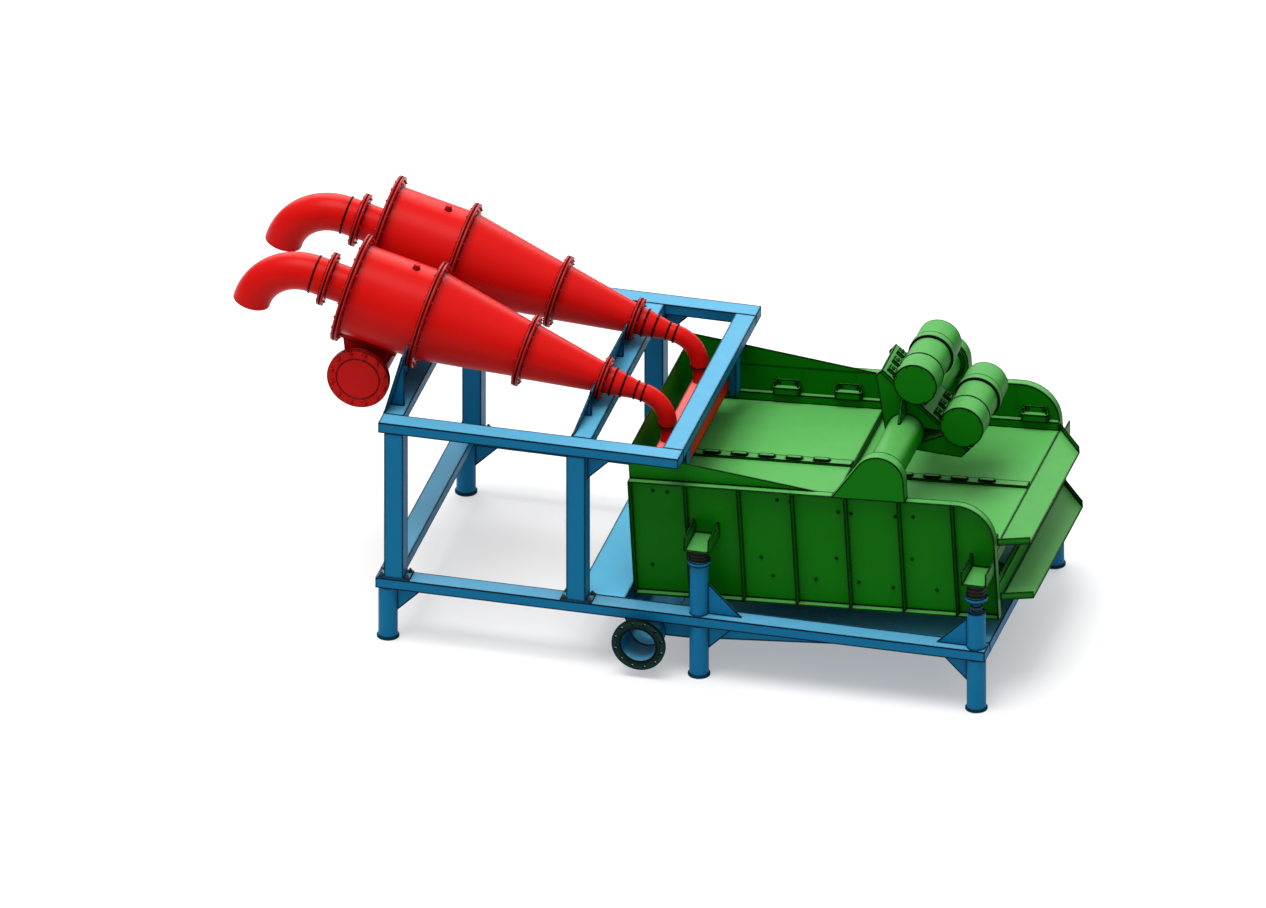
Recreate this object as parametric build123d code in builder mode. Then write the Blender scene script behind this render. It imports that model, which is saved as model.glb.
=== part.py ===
from build123d import *
from math import cos, radians, sin
import os

# Dewatering screen with two hydrocyclones on one welded base frame. All sizes in millimetres.
# X runs along the machine towards the discharge end, Z is up, and the origin is under the axis
# of the first near leg, on the ground. "Near" is the low-Y side and "far" the high-Y side.

# Base frame
leg_gauge = 2230.0
rail_width = 150.0
rail_height = 80.0
end_to_leg = 75.0
right_leg_inset = 80.0
leg_length = 420.0
leg_diameter = 140.0
foot_diameter = 162.0
foot_thickness = 14.0
mid_leg_x = 2297.0
gusset_thickness = 12.0
leg_gusset_size = 200.0

# Upper frame that carries the cyclones
upper_start = -55.0
upper_overhang = 46.0
upper_clear_height = 1182.0
upper_mid_beam_x = 1333.0
post_side = 140.0
left_post_x = 58.0
mid_post_x = 1403.0
post_plate_length = 235.0
post_plate_thickness = 12.0
post_gusset_size = 205.0

# Cyclones: one axis pitched down towards the discharge end, stations measured along it
cyclone_spacing = 912.0
cyclone_pitch = 14.6
head_x = -433.0
head_z = 2424.0
barrel_radius = 332.0
barrel_station = 577.0
cone_station = 1329.0
spigot_station = 1918.0
cone_mid_radius = 207.0
cone_end_radius = 111.0
barrel_flange_radius = 400.0
cone_flange_radius = 268.0
spigot_flange_radius = 160.0
flange_thickness = 22.0
shell_wall = 12.0
pipe_wall = 8.0
overflow_radius = 136.5
overflow_flange_radius = 197.5
overflow_neck = 186.0
overflow_tail = 103.0
overflow_bend = 381.0
underflow_radius = 66.0
underflow_bend = 240.0
underflow_run = 304.0
underflow_wall = 10.0
reducer_radius = 100.0
reducer_hub = 75.0
reducer_length = 249.0
nozzle_radius = 50.0
rim_chamfer = 5.0
boss_station = 400.0
boss_radius = 25.0
boss_height = 20.0
saddle_thickness = 14.0
left_saddle_height = 445.0
left_saddle_taper = 66.0
mid_saddle_height = 215.0
mid_saddle_half_width = 600.0
saddle_gusset_inset = 143.0
mid_gusset_half_pitch = 250.0

# Feed header under the cyclone barrels
header_x = -332.0
header_z = 1822.0
header_radius = 162.0
header_flange_radius = 228.0
header_flange_thickness = 26.0
header_bolt_circle = 400.0
header_bolt_count = 12
header_bolt_hole = 22.0
header_half_length = 700.0
inlet_length = 420.0
inlet_foot_length = 250.0
inlet_width = 170.0
inlet_station = 235.0
inlet_flange_margin = 25.0
inlet_flange_thickness = 24.0

# Feed box that spreads the underflow over the deck
feed_box_inlet = 60.0
feed_box_length = 218.0
feed_box_half_width = 650.0
feed_box_bottom = 1339.0
feed_box_top = 1505.0
feed_box_wall = 8.0
hanger_depth = 60.0
hanger_width = 125.0
hanger_plate = 12.0
hanger_bottom = 1295.0

# Underflow tank and its drain
tank_start = 1725.0
tank_wall = 8.0
tank_lip_start = 1380.0
tank_left_floor = 344.0
tank_floor_x = 2196.0
tank_floor_z = 240.0
tank_right_floor = 425.0
gutter_lip_drop = 30.0
drain_x = 1892.0
drain_z = 267.0
drain_radius = 136.5
drain_bore = 127.0
drain_flange_radius = 197.5
drain_flange_thickness = 28.0
drain_reach = 100.0
drain_bolt_circle = 350.0
drain_bolt_count = 12
drain_bolt_hole = 22.0

# Screen box, pitched up towards the discharge lip, in its own u (length) and v (height)
box_x = 1780.0
box_z = 506.0
box_tilt = 3.2
box_half_width = 915.0
box_length = 2700.0
box_overhang = 55.0
box_height = 906.0
wing_height = 220.0
wing_length = 1400.0
wing_setback = 2.0
corner_radius = 280.0
side_plate_thickness = 10.0
flange_width = 60.0
rib_start = 412.0
rib_end = 313.0
rib_count = 6
ear_setback = 832.0
ear_v = 1063.0
ear_radius = 184.0
ear_foot_reach = 363.0
ear_doubler = 25.0
back_plate_bottom = 250.0

deck_feed_level = 645.0
deck_step = 70.0
deck_step_u = 1400.0
deck_thickness = 40.0
clamp_rail_width = 50.0
clamp_rail_height = 66.0
centre_bar_width = 76.0
centre_bar_height = 20.0
clamp_start = 238.0
clamp_pitch = 458.0
clamp_count = 6
clamp_length = 180.0
clamp_height = 100.0
clamp_depth = 50.0
clamp_wall = 12.0
wedge_start = 362.0
wedge_pitch = 203.0
wedge_count = 11
wedge_length = 125.0
wedge_width = 40.0
wedge_height = 16.0
cross_member_side = 100.0
cross_member_width = 80.0
cross_member_count = 3
lower_frame_level = 145.0
lower_frame_height = 120.0
lower_frame_bar = 40.0
lower_frame_count = 6

lip_reach = 190.0
lip_drop = 75.0
lip_taper = 200.0
lip_cheek = 45.0
lip_plate = 10.0
lower_lip_drop = 438.0

# Exciter: cross tube, bench and two vibrator motors
tube_radius = 134.0
tube_wall = 12.0
collar_margin = 24.0
collar_thickness = 20.0
motor_radius = 160.0
motor_length = 710.0
motor_near_reach = 336.0
motor_forward = 130.0
motor_rise = 451.0
motor_pitch = 456.0
motor_cover = 190.0
motor_band_start = 449.0
motor_band_length = 68.0
motor_band_rise = 8.0
motor_body_inset = 8.0
motor_foot_height = 170.0
foot_pad = 26.0
foot_half_length = 180.0
foot_half_width = 130.0
lug_reach = 190.0
lug_pitch = 130.0
lug_width = 64.0
foot_web_half_width = 110.0
bench_angle = 44.2
bench_overhang_top = 221.0
bench_overhang_bottom = 183.0
bench_half_width = 203.0
bench_thickness = 25.0
bench_cheek = 20.0
bench_cheek_inset = 5.0
bench_shoulder = 48.0
arm_web = 20.0
tube_rib_reach = 180.0
tube_rib_top = 60.0

# Rubber springs between the posts on the base frame and the brackets on the box
spring_plate_level = 1028.0
bracket_half_width = 95.0
bracket_outer = 1200.0
bracket_plate = 12.0
bracket_cheek = 95.0
spring_radius = 71.0
cup_radius = 84.0
cup_height = 36.0
cup_floor = 12.0
spring_post_radius = 67.0
mid_cup_base = 903.0
right_cup_base = 886.0
right_post_top = 791.0
jack_radius = 32.0
mid_spring_gusset = 250.0
right_spring_gusset = 228.0
spring_clearance = 1.0
seat_gap = 0.3

# Levels and lines worked out from the sizes above
mid_y = leg_gauge / 2
rail_bottom = leg_length
rail_top = rail_bottom + rail_height
rail_inner = leg_gauge / 2 - rail_width / 2
base_start = -end_to_leg
base_end = box_x + box_length - box_overhang
base_length = base_end - base_start
right_leg_x = base_end - right_leg_inset
upper_bottom = rail_top + upper_clear_height
upper_top = upper_bottom + rail_height
pitch = radians(cyclone_pitch)
tilt = radians(box_tilt)
rib_pitch = (box_length - rib_start - rib_end) / (rib_count - 1)
ear_u = box_length - ear_setback
motor_u = ear_u + motor_forward
motor_v = ear_v + motor_rise
plate_edge = box_half_width - side_plate_thickness

os.makedirs("parts", exist_ok=True)


def save(builder, name):
    """Label a finished piece and write it under that name."""
    builder.part.label = name
    export_step(builder.part, f"parts/{name}.step")


def side_name(side):
    """Near is the low-Y side, far the high-Y side."""
    return "near" if side < 0 else "far"


def box_plane(y):
    """Upright plane of the screen box at one Y: u along the deck, v up, facing the near side."""
    return Plane(origin=(box_x, y, box_z), x_dir=(cos(tilt), 0, sin(tilt)), z_dir=(0, -1, 0))


def deck_plane(v):
    """Plane parallel to the deck at height v: u along the machine, local y along Y from its middle."""
    origin = (box_x - v * sin(tilt), mid_y, box_z + v * cos(tilt))
    return Plane(origin=origin, x_dir=(cos(tilt), 0, sin(tilt)), z_dir=(-sin(tilt), 0, cos(tilt)))


def box_point(u, v, y):
    """Place of a point of the screen box in the machine's own frame."""
    return (box_x + u * cos(tilt) - v * sin(tilt), y, box_z + u * sin(tilt) + v * cos(tilt))


def axis_point(station, y, offset=0.0):
    """Point on a cyclone axis, or offset square to it in the upright plane, upwards."""
    x = head_x + station * cos(pitch) + offset * sin(pitch)
    z = head_z - station * sin(pitch) + offset * cos(pitch)
    return (x, y, z)


def axis_plane(station, y):
    """Plane square to a cyclone axis at a station, facing the discharge end."""
    return Plane(origin=axis_point(station, y), x_dir=(0, 1, 0), z_dir=(cos(pitch), 0, -sin(pitch)))


def axis_station(x, z):
    """Station along a cyclone axis that lies square to a given X and Z."""
    return (x - head_x) * cos(pitch) - (z - head_z) * sin(pitch)


bend_station = spigot_station + underflow_run
nozzle_x = axis_point(bend_station, mid_y, -underflow_bend)[0] + underflow_bend
feed_box_start = nozzle_x - feed_box_inlet
hanger_x = feed_box_start + feed_box_length
upper_end = hanger_x + hanger_depth + upper_overhang
upper_length = upper_end - upper_start


def lower_cone_radius(station):
    """Outer radius of the lower cone at a station."""
    cone_run = spigot_station - cone_station - 2 * flange_thickness
    share = (station - cone_station - flange_thickness) / cone_run
    return cone_mid_radius - share * (cone_mid_radius - cone_end_radius)


def upright(y):
    """Upright XZ plane at one Y, facing the near side."""
    return Plane(origin=(0, y, 0), x_dir=(1, 0, 0), z_dir=(0, -1, 0))


# Base frame: two long rails with cross beams between them
for side in (-1, 1):
    with BuildPart() as base_rail:
        with BuildSketch(Plane.XY.offset(rail_bottom)):
            with Locations((base_start + base_length / 2, mid_y + side * leg_gauge / 2)):
                Rectangle(base_length, rail_width)
        extrude(amount=rail_height)
    save(base_rail, f"base_rail_{side_name(side)}")

with BuildPart() as base_cross_beams:
    with BuildSketch(Plane.XY.offset(rail_bottom)):
        with Locations((base_start + rail_width / 2, mid_y), (base_end - rail_width / 2, mid_y)):
            Rectangle(rail_width, 2 * rail_inner)
    extrude(amount=rail_height)
save(base_cross_beams, "base_cross_beams")

# Legs: tube, foot disc and a corner gusset under the rail
leg_rows = ((0.0, 1), (mid_leg_x, 1), (right_leg_x, -1))
for side in (-1, 1):
    leg_y = mid_y + side * leg_gauge / 2
    with BuildPart() as legs:
        for leg_x, gusset_side in leg_rows:
            with BuildSketch(Plane.XY):
                with Locations((leg_x, leg_y)):
                    Circle(foot_diameter / 2)
            extrude(amount=foot_thickness)
            with BuildSketch(Plane.XY):
                with Locations((leg_x, leg_y)):
                    Circle(leg_diameter / 2)
            extrude(amount=leg_length)
            with BuildSketch(upright(leg_y + gusset_thickness / 2)):
                root = leg_x + gusset_side * leg_diameter * 0.4
                tip = leg_x + gusset_side * (leg_diameter / 2 + leg_gusset_size)
                foot = leg_x + gusset_side * leg_diameter / 2
                with BuildLine():
                    Polyline((root, leg_length), (tip, leg_length), (foot, leg_length - leg_gusset_size),
                             (root, leg_length - leg_gusset_size), close=True)
                make_face()
            extrude(amount=gusset_thickness)
    save(legs, f"legs_{side_name(side)}")

# Posts: box section on a base plate, the middle one with a gusset under the upper rail
for side in (-1, 1):
    post_y = mid_y + side * leg_gauge / 2
    with BuildPart() as posts:
        with BuildSketch(Plane.XY.offset(rail_top)):
            with Locations((left_post_x, post_y), (mid_post_x, post_y)):
                Rectangle(post_plate_length, rail_width)
        extrude(amount=post_plate_thickness)
        with BuildSketch(Plane.XY.offset(rail_top)):
            with Locations((left_post_x, post_y), (mid_post_x, post_y)):
                Rectangle(post_side, post_side)
        extrude(amount=upper_clear_height)
        with BuildSketch(upright(post_y + gusset_thickness / 2)):
            face_x = mid_post_x + post_side / 2
            with BuildLine():
                Polyline((face_x, upper_bottom), (face_x + post_gusset_size, upper_bottom),
                         (face_x, upper_bottom - post_gusset_size), close=True)
            make_face()
        extrude(amount=gusset_thickness)
    save(posts, f"posts_{side_name(side)}")

# Upper frame
for side in (-1, 1):
    with BuildPart() as upper_rail:
        with BuildSketch(Plane.XY.offset(upper_bottom)):
            with Locations((upper_start + upper_length / 2, mid_y + side * leg_gauge / 2)):
                Rectangle(upper_length, rail_width)
        extrude(amount=rail_height)
    save(upper_rail, f"upper_rail_{side_name(side)}")

with BuildPart() as upper_cross_beams:
    with BuildSketch(Plane.XY.offset(upper_bottom)):
        with Locations((upper_start + rail_width / 2, mid_y), (upper_mid_beam_x + rail_width / 2, mid_y),
                       (upper_end - rail_width / 2, mid_y)):
            Rectangle(rail_width, 2 * rail_inner)
    extrude(amount=rail_height)
save(upper_cross_beams, "upper_cross_beams")


def saddle(name, foot_x, height, foot_half, top_half, slot_radius, gusset_rows):
    """Cradle plate square to the cyclone axes: it stands on a cross beam and holds both cyclones."""
    # distance from the beam's top edge to the axis, measured up the plate
    axis_height = (upper_top - head_z) * -cos(pitch) - (foot_x - head_x) * sin(pitch)
    # the lower edge is cut level where the leaning plate stands on the beam
    plate_plane = Plane(origin=(foot_x, mid_y, upper_top), x_dir=(0, 1, 0),
                        z_dir=(cos(pitch), 0, -sin(pitch)))
    with BuildPart() as plate:
        with BuildSketch(plate_plane):
            with BuildLine():
                Polyline((-foot_half, -saddle_thickness), (foot_half, -saddle_thickness), (foot_half, 0),
                         (top_half, height), (-top_half, height), (-foot_half, 0), close=True)
            make_face()
            with Locations((-cyclone_spacing / 2, axis_height), (cyclone_spacing / 2, axis_height)):
                Circle(slot_radius + seat_gap, mode=Mode.SUBTRACT)
        extrude(amount=saddle_thickness)
        for gusset_y in gusset_rows:
            lean = height * 0.95
            edge_x = foot_x + lean * sin(pitch)
            with BuildSketch(upright(mid_y + gusset_y + gusset_thickness / 2)):
                with BuildLine():
                    Polyline((foot_x + 2, upper_top), (edge_x + saddle_thickness, upper_top),
                             (edge_x + saddle_thickness, upper_top + lean * cos(pitch)),
                             (edge_x, upper_top + lean * cos(pitch)), close=True)
                make_face()
            extrude(amount=gusset_thickness)
        split(bisect_by=Plane.XY.offset(upper_top), keep=Keep.TOP)
    save(plate, name)


saddle("saddle_left", upper_start, left_saddle_height, rail_inner, rail_inner - left_saddle_taper,
       barrel_radius, (saddle_gusset_inset - rail_inner, 0, rail_inner - saddle_gusset_inset))
mid_saddle_station = axis_station(upper_mid_beam_x, upper_top)
saddle("saddle_mid", upper_mid_beam_x, mid_saddle_height, rail_inner, mid_saddle_half_width,
       lower_cone_radius(mid_saddle_station),
       [side * cyclone_spacing / 2 + hand * mid_gusset_half_pitch for side in (-1, 1) for hand in (-1, 1)])


def turned(y, outer, inner):
    """Turned shell about a cyclone axis: outer and inner are (station, radius) lines."""
    plane = Plane(origin=axis_point(0, y), x_dir=(cos(pitch), 0, -sin(pitch)), z_dir=(0, -1, 0))
    with BuildPart() as shell:
        with BuildSketch(plane):
            with BuildLine():
                Polyline(*outer, *reversed(inner), close=True)
            make_face()
        revolve(axis=Axis(plane.origin, plane.x_dir))
    return shell


for side in (-1, 1):
    name = side_name(side)
    cy = mid_y + side * cyclone_spacing / 2
    rim = flange_thickness

    # Head: cover plate, vortex-finder neck and its flange
    head = turned(cy, [(-overflow_neck, overflow_flange_radius - rim_chamfer),
                       (rim_chamfer - overflow_neck, overflow_flange_radius),
                       (rim - overflow_neck, overflow_flange_radius), (rim - overflow_neck, overflow_radius),
                       (-rim, overflow_radius), (-rim, barrel_flange_radius),
                       (-rim_chamfer, barrel_flange_radius),
                       (0, barrel_flange_radius - rim_chamfer)],
                  [(-overflow_neck, overflow_radius - pipe_wall), (0, overflow_radius - pipe_wall)])
    save(head, f"cyclone_head_{name}")

    # Overflow elbow: flanged tail and a long-radius bend that turns down
    elbow_start = overflow_neck + overflow_tail
    with BuildPart() as overflow:
        with BuildSketch(axis_plane(-overflow_neck - flange_thickness, cy)):
            Circle(overflow_flange_radius)
            Circle(overflow_radius - pipe_wall, mode=Mode.SUBTRACT)
        extrude(amount=flange_thickness)
        with BuildSketch(axis_plane(-elbow_start, cy)):
            Circle(overflow_radius)
            Circle(overflow_radius - pipe_wall, mode=Mode.SUBTRACT)
        extrude(amount=overflow_tail)
        with BuildSketch(axis_plane(-elbow_start, cy)):
            Circle(overflow_radius)
            Circle(overflow_radius - pipe_wall, mode=Mode.SUBTRACT)
        centre = axis_point(-elbow_start, cy, -overflow_bend)
        revolve(axis=Axis(centre, (0, -1, 0)), revolution_arc=90)
    save(overflow, f"overflow_elbow_{name}")

    # Barrel with a flange at each end and a capped boss on top
    cylinder = turned(cy, [(0, barrel_flange_radius - rim_chamfer), (rim_chamfer, barrel_flange_radius),
                           (rim, barrel_flange_radius), (rim, barrel_radius),
                           (barrel_station - rim, barrel_radius),
                           (barrel_station - rim, barrel_flange_radius),
                           (barrel_station - rim_chamfer, barrel_flange_radius),
                           (barrel_station, barrel_flange_radius - rim_chamfer)],
                      [(0, barrel_radius - shell_wall), (barrel_station, barrel_radius - shell_wall)])
    boss_plane = Plane(origin=axis_point(boss_station, cy, barrel_radius - shell_wall / 2),
                       x_dir=(cos(pitch), 0, -sin(pitch)), z_dir=(sin(pitch), 0, cos(pitch)))
    with BuildPart() as barrel:
        add(cylinder.part)
        with BuildSketch(boss_plane):
            Circle(boss_radius)
        extrude(amount=boss_height + shell_wall / 2)
    save(barrel, f"cyclone_barrel_{name}")

    # Upper cone
    upper_cone = turned(cy, [(barrel_station, barrel_flange_radius - rim_chamfer),
                             (barrel_station + rim_chamfer, barrel_flange_radius),
                             (barrel_station + rim, barrel_flange_radius),
                             (barrel_station + rim, barrel_radius),
                             (cone_station - rim, cone_mid_radius), (cone_station - rim, cone_flange_radius),
                             (cone_station - rim_chamfer, cone_flange_radius),
                             (cone_station, cone_flange_radius - rim_chamfer)],
                        [(barrel_station, barrel_radius - shell_wall),
                         (cone_station, cone_mid_radius - shell_wall)])
    save(upper_cone, f"cyclone_upper_cone_{name}")

    # Lower cone
    lower_cone = turned(cy, [(cone_station, cone_flange_radius - rim_chamfer),
                             (cone_station + rim_chamfer, cone_flange_radius),
                             (cone_station + rim, cone_flange_radius), (cone_station + rim, cone_mid_radius),
                             (spigot_station - rim, cone_end_radius),
                             (spigot_station - rim, spigot_flange_radius),
                             (spigot_station - rim_chamfer, spigot_flange_radius),
                             (spigot_station, spigot_flange_radius - rim_chamfer)],
                        [(cone_station, cone_mid_radius - shell_wall),
                         (spigot_station, cone_end_radius - shell_wall)])
    save(lower_cone, f"cyclone_lower_cone_{name}")

    # Underflow: flanged reducer, the bend that turns down, and the flanged nozzle into the feed box
    reducer = turned(cy, [(spigot_station, spigot_flange_radius - rim_chamfer),
                          (spigot_station + rim_chamfer, spigot_flange_radius),
                          (spigot_station + rim, spigot_flange_radius),
                          (spigot_station + rim, reducer_radius),
                          (spigot_station + reducer_hub, reducer_radius),
                          (spigot_station + reducer_length, underflow_radius),
                          (bend_station, underflow_radius)],
                     [(spigot_station, reducer_radius - shell_wall),
                      (spigot_station + reducer_hub, reducer_radius - shell_wall),
                      (spigot_station + reducer_length, underflow_radius - underflow_wall),
                      (bend_station, underflow_radius - underflow_wall)])
    bend_centre = axis_point(bend_station, cy, -underflow_bend)
    with BuildPart() as underflow:
        add(reducer.part)
        with BuildSketch(axis_plane(bend_station, cy)):
            Circle(underflow_radius)
            Circle(underflow_radius - underflow_wall, mode=Mode.SUBTRACT)
        revolve(axis=Axis(bend_centre, (0, 1, 0)), revolution_arc=90 - cyclone_pitch)
        with BuildSketch(Plane.XY.offset(feed_box_top)):
            with Locations((nozzle_x, cy)):
                Circle(nozzle_radius)
                Circle(nozzle_radius - pipe_wall, mode=Mode.SUBTRACT)
        extrude(amount=bend_centre[2] - feed_box_top)
        with BuildSketch(Plane.XY.offset(bend_centre[2] - flange_thickness)):
            with Locations((nozzle_x, cy)):
                Circle(underflow_radius)
                Circle(nozzle_radius - pipe_wall, mode=Mode.SUBTRACT)
        extrude(amount=flange_thickness)
    save(underflow, f"underflow_elbow_{name}")

# Feed header: pipe with a blanked near end, an open far flange and a short duct up into each barrel
header_far = mid_y + header_half_length
header_section = Plane(origin=(header_x, header_far, header_z), x_dir=(1, 0, 0), z_dir=(0, -1, 0))
with BuildPart() as feed_header:
    with BuildSketch(header_section):
        Circle(header_radius)
    extrude(amount=2 * header_half_length)
    for side in (-1, 1):
        cy = mid_y + side * cyclone_spacing / 2
        with BuildSketch(Plane.XY.offset(header_z)):
            with Locations((header_x, cy)):
                Rectangle(inlet_foot_length, inlet_width)
        inlet_plane = Plane(origin=axis_point(inlet_station, cy, inlet_flange_thickness - barrel_radius),
                            x_dir=(cos(pitch), 0, -sin(pitch)), z_dir=(sin(pitch), 0, cos(pitch)))
        with BuildSketch(inlet_plane):
            Rectangle(inlet_length, inlet_width)
        loft()
        with BuildSketch(inlet_plane):
            Rectangle(inlet_length, inlet_width + 2 * inlet_flange_margin)
        extrude(amount=-2 * inlet_flange_thickness)
        with BuildSketch(axis_plane(0, cy)):
            Circle(barrel_radius + seat_gap)
        extrude(amount=barrel_station, mode=Mode.SUBTRACT)
    with BuildSketch(header_section):
        Circle(header_flange_radius)
        with PolarLocations(header_bolt_circle / 2, header_bolt_count, start_angle=15):
            Circle(header_bolt_hole / 2, mode=Mode.SUBTRACT)
    extrude(amount=header_flange_thickness)
    with BuildSketch(header_section.offset(2 * header_half_length)):
        Circle(header_flange_radius)
    extrude(amount=-2 * header_flange_thickness)
    with BuildSketch(header_section):
        Circle(header_radius - pipe_wall)
    extrude(amount=2 * header_half_length - 2 * header_flange_thickness, mode=Mode.SUBTRACT)
save(feed_header, "feed_header")

# Feed box: open-bottomed hood of five welded plates over the feed end of the deck, and its hangers
feed_box_middle = feed_box_start + feed_box_length / 2
with BuildPart() as box_lid:
    with BuildSketch(Plane.XY.offset(feed_box_top - feed_box_wall)):
        with Locations((feed_box_middle, mid_y)):
            Rectangle(feed_box_length, 2 * feed_box_half_width)
        with Locations((nozzle_x, mid_y - cyclone_spacing / 2), (nozzle_x, mid_y + cyclone_spacing / 2)):
            Circle(nozzle_radius - pipe_wall, mode=Mode.SUBTRACT)
    extrude(amount=feed_box_wall)

wall_height = feed_box_top - feed_box_wall - feed_box_bottom
with BuildPart() as box_ends:
    with BuildSketch(Plane.XY.offset(feed_box_bottom)):
        for side in (-1, 1):
            with Locations((feed_box_middle, mid_y + side * (feed_box_half_width - feed_box_wall / 2))):
                Rectangle(feed_box_length, feed_box_wall)
    extrude(amount=wall_height)

with BuildPart() as box_walls:
    with BuildSketch(Plane.XY.offset(feed_box_bottom)):
        for hand in (-1, 1):
            with Locations((feed_box_middle + hand * (feed_box_length - feed_box_wall) / 2, mid_y)):
                Rectangle(feed_box_wall, 2 * (feed_box_half_width - feed_box_wall))
    extrude(amount=wall_height)

feed_box = Compound([*box_lid.part.solids(), *box_ends.part.solids(), *box_walls.part.solids()])
feed_box.label = "feed_box"
export_step(feed_box, "parts/feed_box.step")

with BuildPart() as feed_box_hangers:
    for side in (-1, 1):
        hanger_y = mid_y + side * (feed_box_half_width + hanger_width / 2)
        with BuildSketch(Plane.XY.offset(hanger_bottom)):
            with Locations((hanger_x + hanger_depth / 2, hanger_y)):
                Rectangle(hanger_depth, hanger_width)
        extrude(amount=upper_bottom - hanger_bottom)
        with BuildSketch(Plane.XY.offset(feed_box_bottom)):
            with Locations((hanger_x - hanger_depth / 2, mid_y + side * (feed_box_half_width + hanger_plate / 2))):
                Rectangle(hanger_depth * 2, hanger_plate)
        extrude(amount=feed_box_top - feed_box_bottom)
save(feed_box_hangers, "feed_box_hangers")

# Underflow tank between the rails: sloping floor with a drain gutter, and a lip plate flush with the rails
tank_end = base_end - rail_width


def tank_outline(margin):
    """Side view of the tank, drawn inwards by a margin."""
    with BuildSketch() as outline:
        with BuildLine():
            Polyline((tank_start, rail_top), (tank_start, tank_left_floor),
                     (drain_x - drain_radius, drain_z), (drain_x, drain_z - drain_radius / 2),
                     (drain_x + drain_radius, drain_z - gutter_lip_drop),
                     (tank_floor_x, tank_floor_z), (tank_end, tank_right_floor),
                     (tank_end, rail_top), close=True)
        make_face()
        with Locations((drain_x, drain_z)):
            Circle(drain_radius)
        if margin:
            offset(amount=-margin, mode=Mode.REPLACE)
    return outline.sketch


with BuildPart() as tank_shell:
    with BuildSketch(upright(mid_y + rail_inner)):
        add(tank_outline(0))
    extrude(amount=2 * rail_inner)
    with BuildSketch(upright(mid_y + rail_inner - tank_wall)):
        add(tank_outline(tank_wall))
        with Locations(((tank_start + tank_end) / 2, rail_top)):
            Rectangle(tank_end - tank_start - 2 * tank_wall, 4 * tank_wall)
    extrude(amount=2 * (rail_inner - tank_wall), mode=Mode.SUBTRACT)
    with BuildSketch(Plane.XY.offset(rail_top - tank_wall)):
        with Locations(((tank_lip_start + tank_start + tank_wall) / 2, mid_y)):
            Rectangle(tank_start + tank_wall - tank_lip_start, 2 * rail_inner)
    extrude(amount=tank_wall)
    with BuildSketch(upright(mid_y)):
        with Locations((drain_x, drain_z)):
            Circle(drain_bore)
    extrude(amount=rail_inner, mode=Mode.SUBTRACT)
save(tank_shell, "tank_shell")

with BuildPart() as drain_pipe:
    drain_face = mid_y - leg_gauge / 2 - rail_width / 2 - drain_reach
    drain_plane = Plane(origin=(drain_x, drain_face, drain_z), x_dir=(1, 0, 0), z_dir=(0, 1, 0))
    with BuildSketch(drain_plane):
        Circle(drain_radius)
        Circle(drain_bore, mode=Mode.SUBTRACT)
    extrude(amount=mid_y - rail_inner - drain_face)
    with BuildSketch(drain_plane):
        Circle(drain_flange_radius)
        Circle(drain_bore, mode=Mode.SUBTRACT)
        with PolarLocations(drain_bolt_circle / 2, drain_bolt_count, start_angle=15):
            Circle(drain_bolt_hole / 2, mode=Mode.SUBTRACT)
    extrude(amount=drain_flange_thickness)
save(drain_pipe, "drain_pipe")

# Side plates of the screen box: plate with a raised wing, a rounded discharge corner and a thick ear
# that closes the cross tube, an outward flange all round and vertical ribs


def ear_outline():
    """Arched ear for the cross tube: a round top, an upright front flank and a long sloping back flank."""
    with BuildSketch() as ear:
        with BuildLine():
            Line((ear_u - ear_foot_reach, box_height - side_plate_thickness),
                 (ear_u + ear_radius, box_height - side_plate_thickness))
            CenterArc((ear_u, ear_v), ear_radius, 0, 180)
        make_hull()
    return ear.sketch


def plate_outline():
    """Outline of a side plate in u and v."""
    with BuildSketch() as outline:
        with BuildLine():
            l1 = Polyline((0, wing_height + box_height), (0, 0), (box_length, 0),
                          (box_length, box_height - corner_radius))
            l2 = RadiusArc(l1 @ 1, (box_length - corner_radius, box_height), -corner_radius)
            Polyline(l2 @ 1, (wing_length, box_height), (0, wing_height + box_height))
        make_face()
    return outline.sketch


def flange_outline():
    """The part of that outline that carries the flange: all but the wing."""
    with BuildSketch() as outline:
        with BuildLine():
            l1 = Polyline((0, box_height), (0, 0), (box_length, 0), (box_length, box_height - corner_radius))
            l2 = RadiusArc(l1 @ 1, (box_length - corner_radius, box_height), -corner_radius)
            Line(l2 @ 1, (0, box_height))
        make_face()
    return outline.sketch


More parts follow.
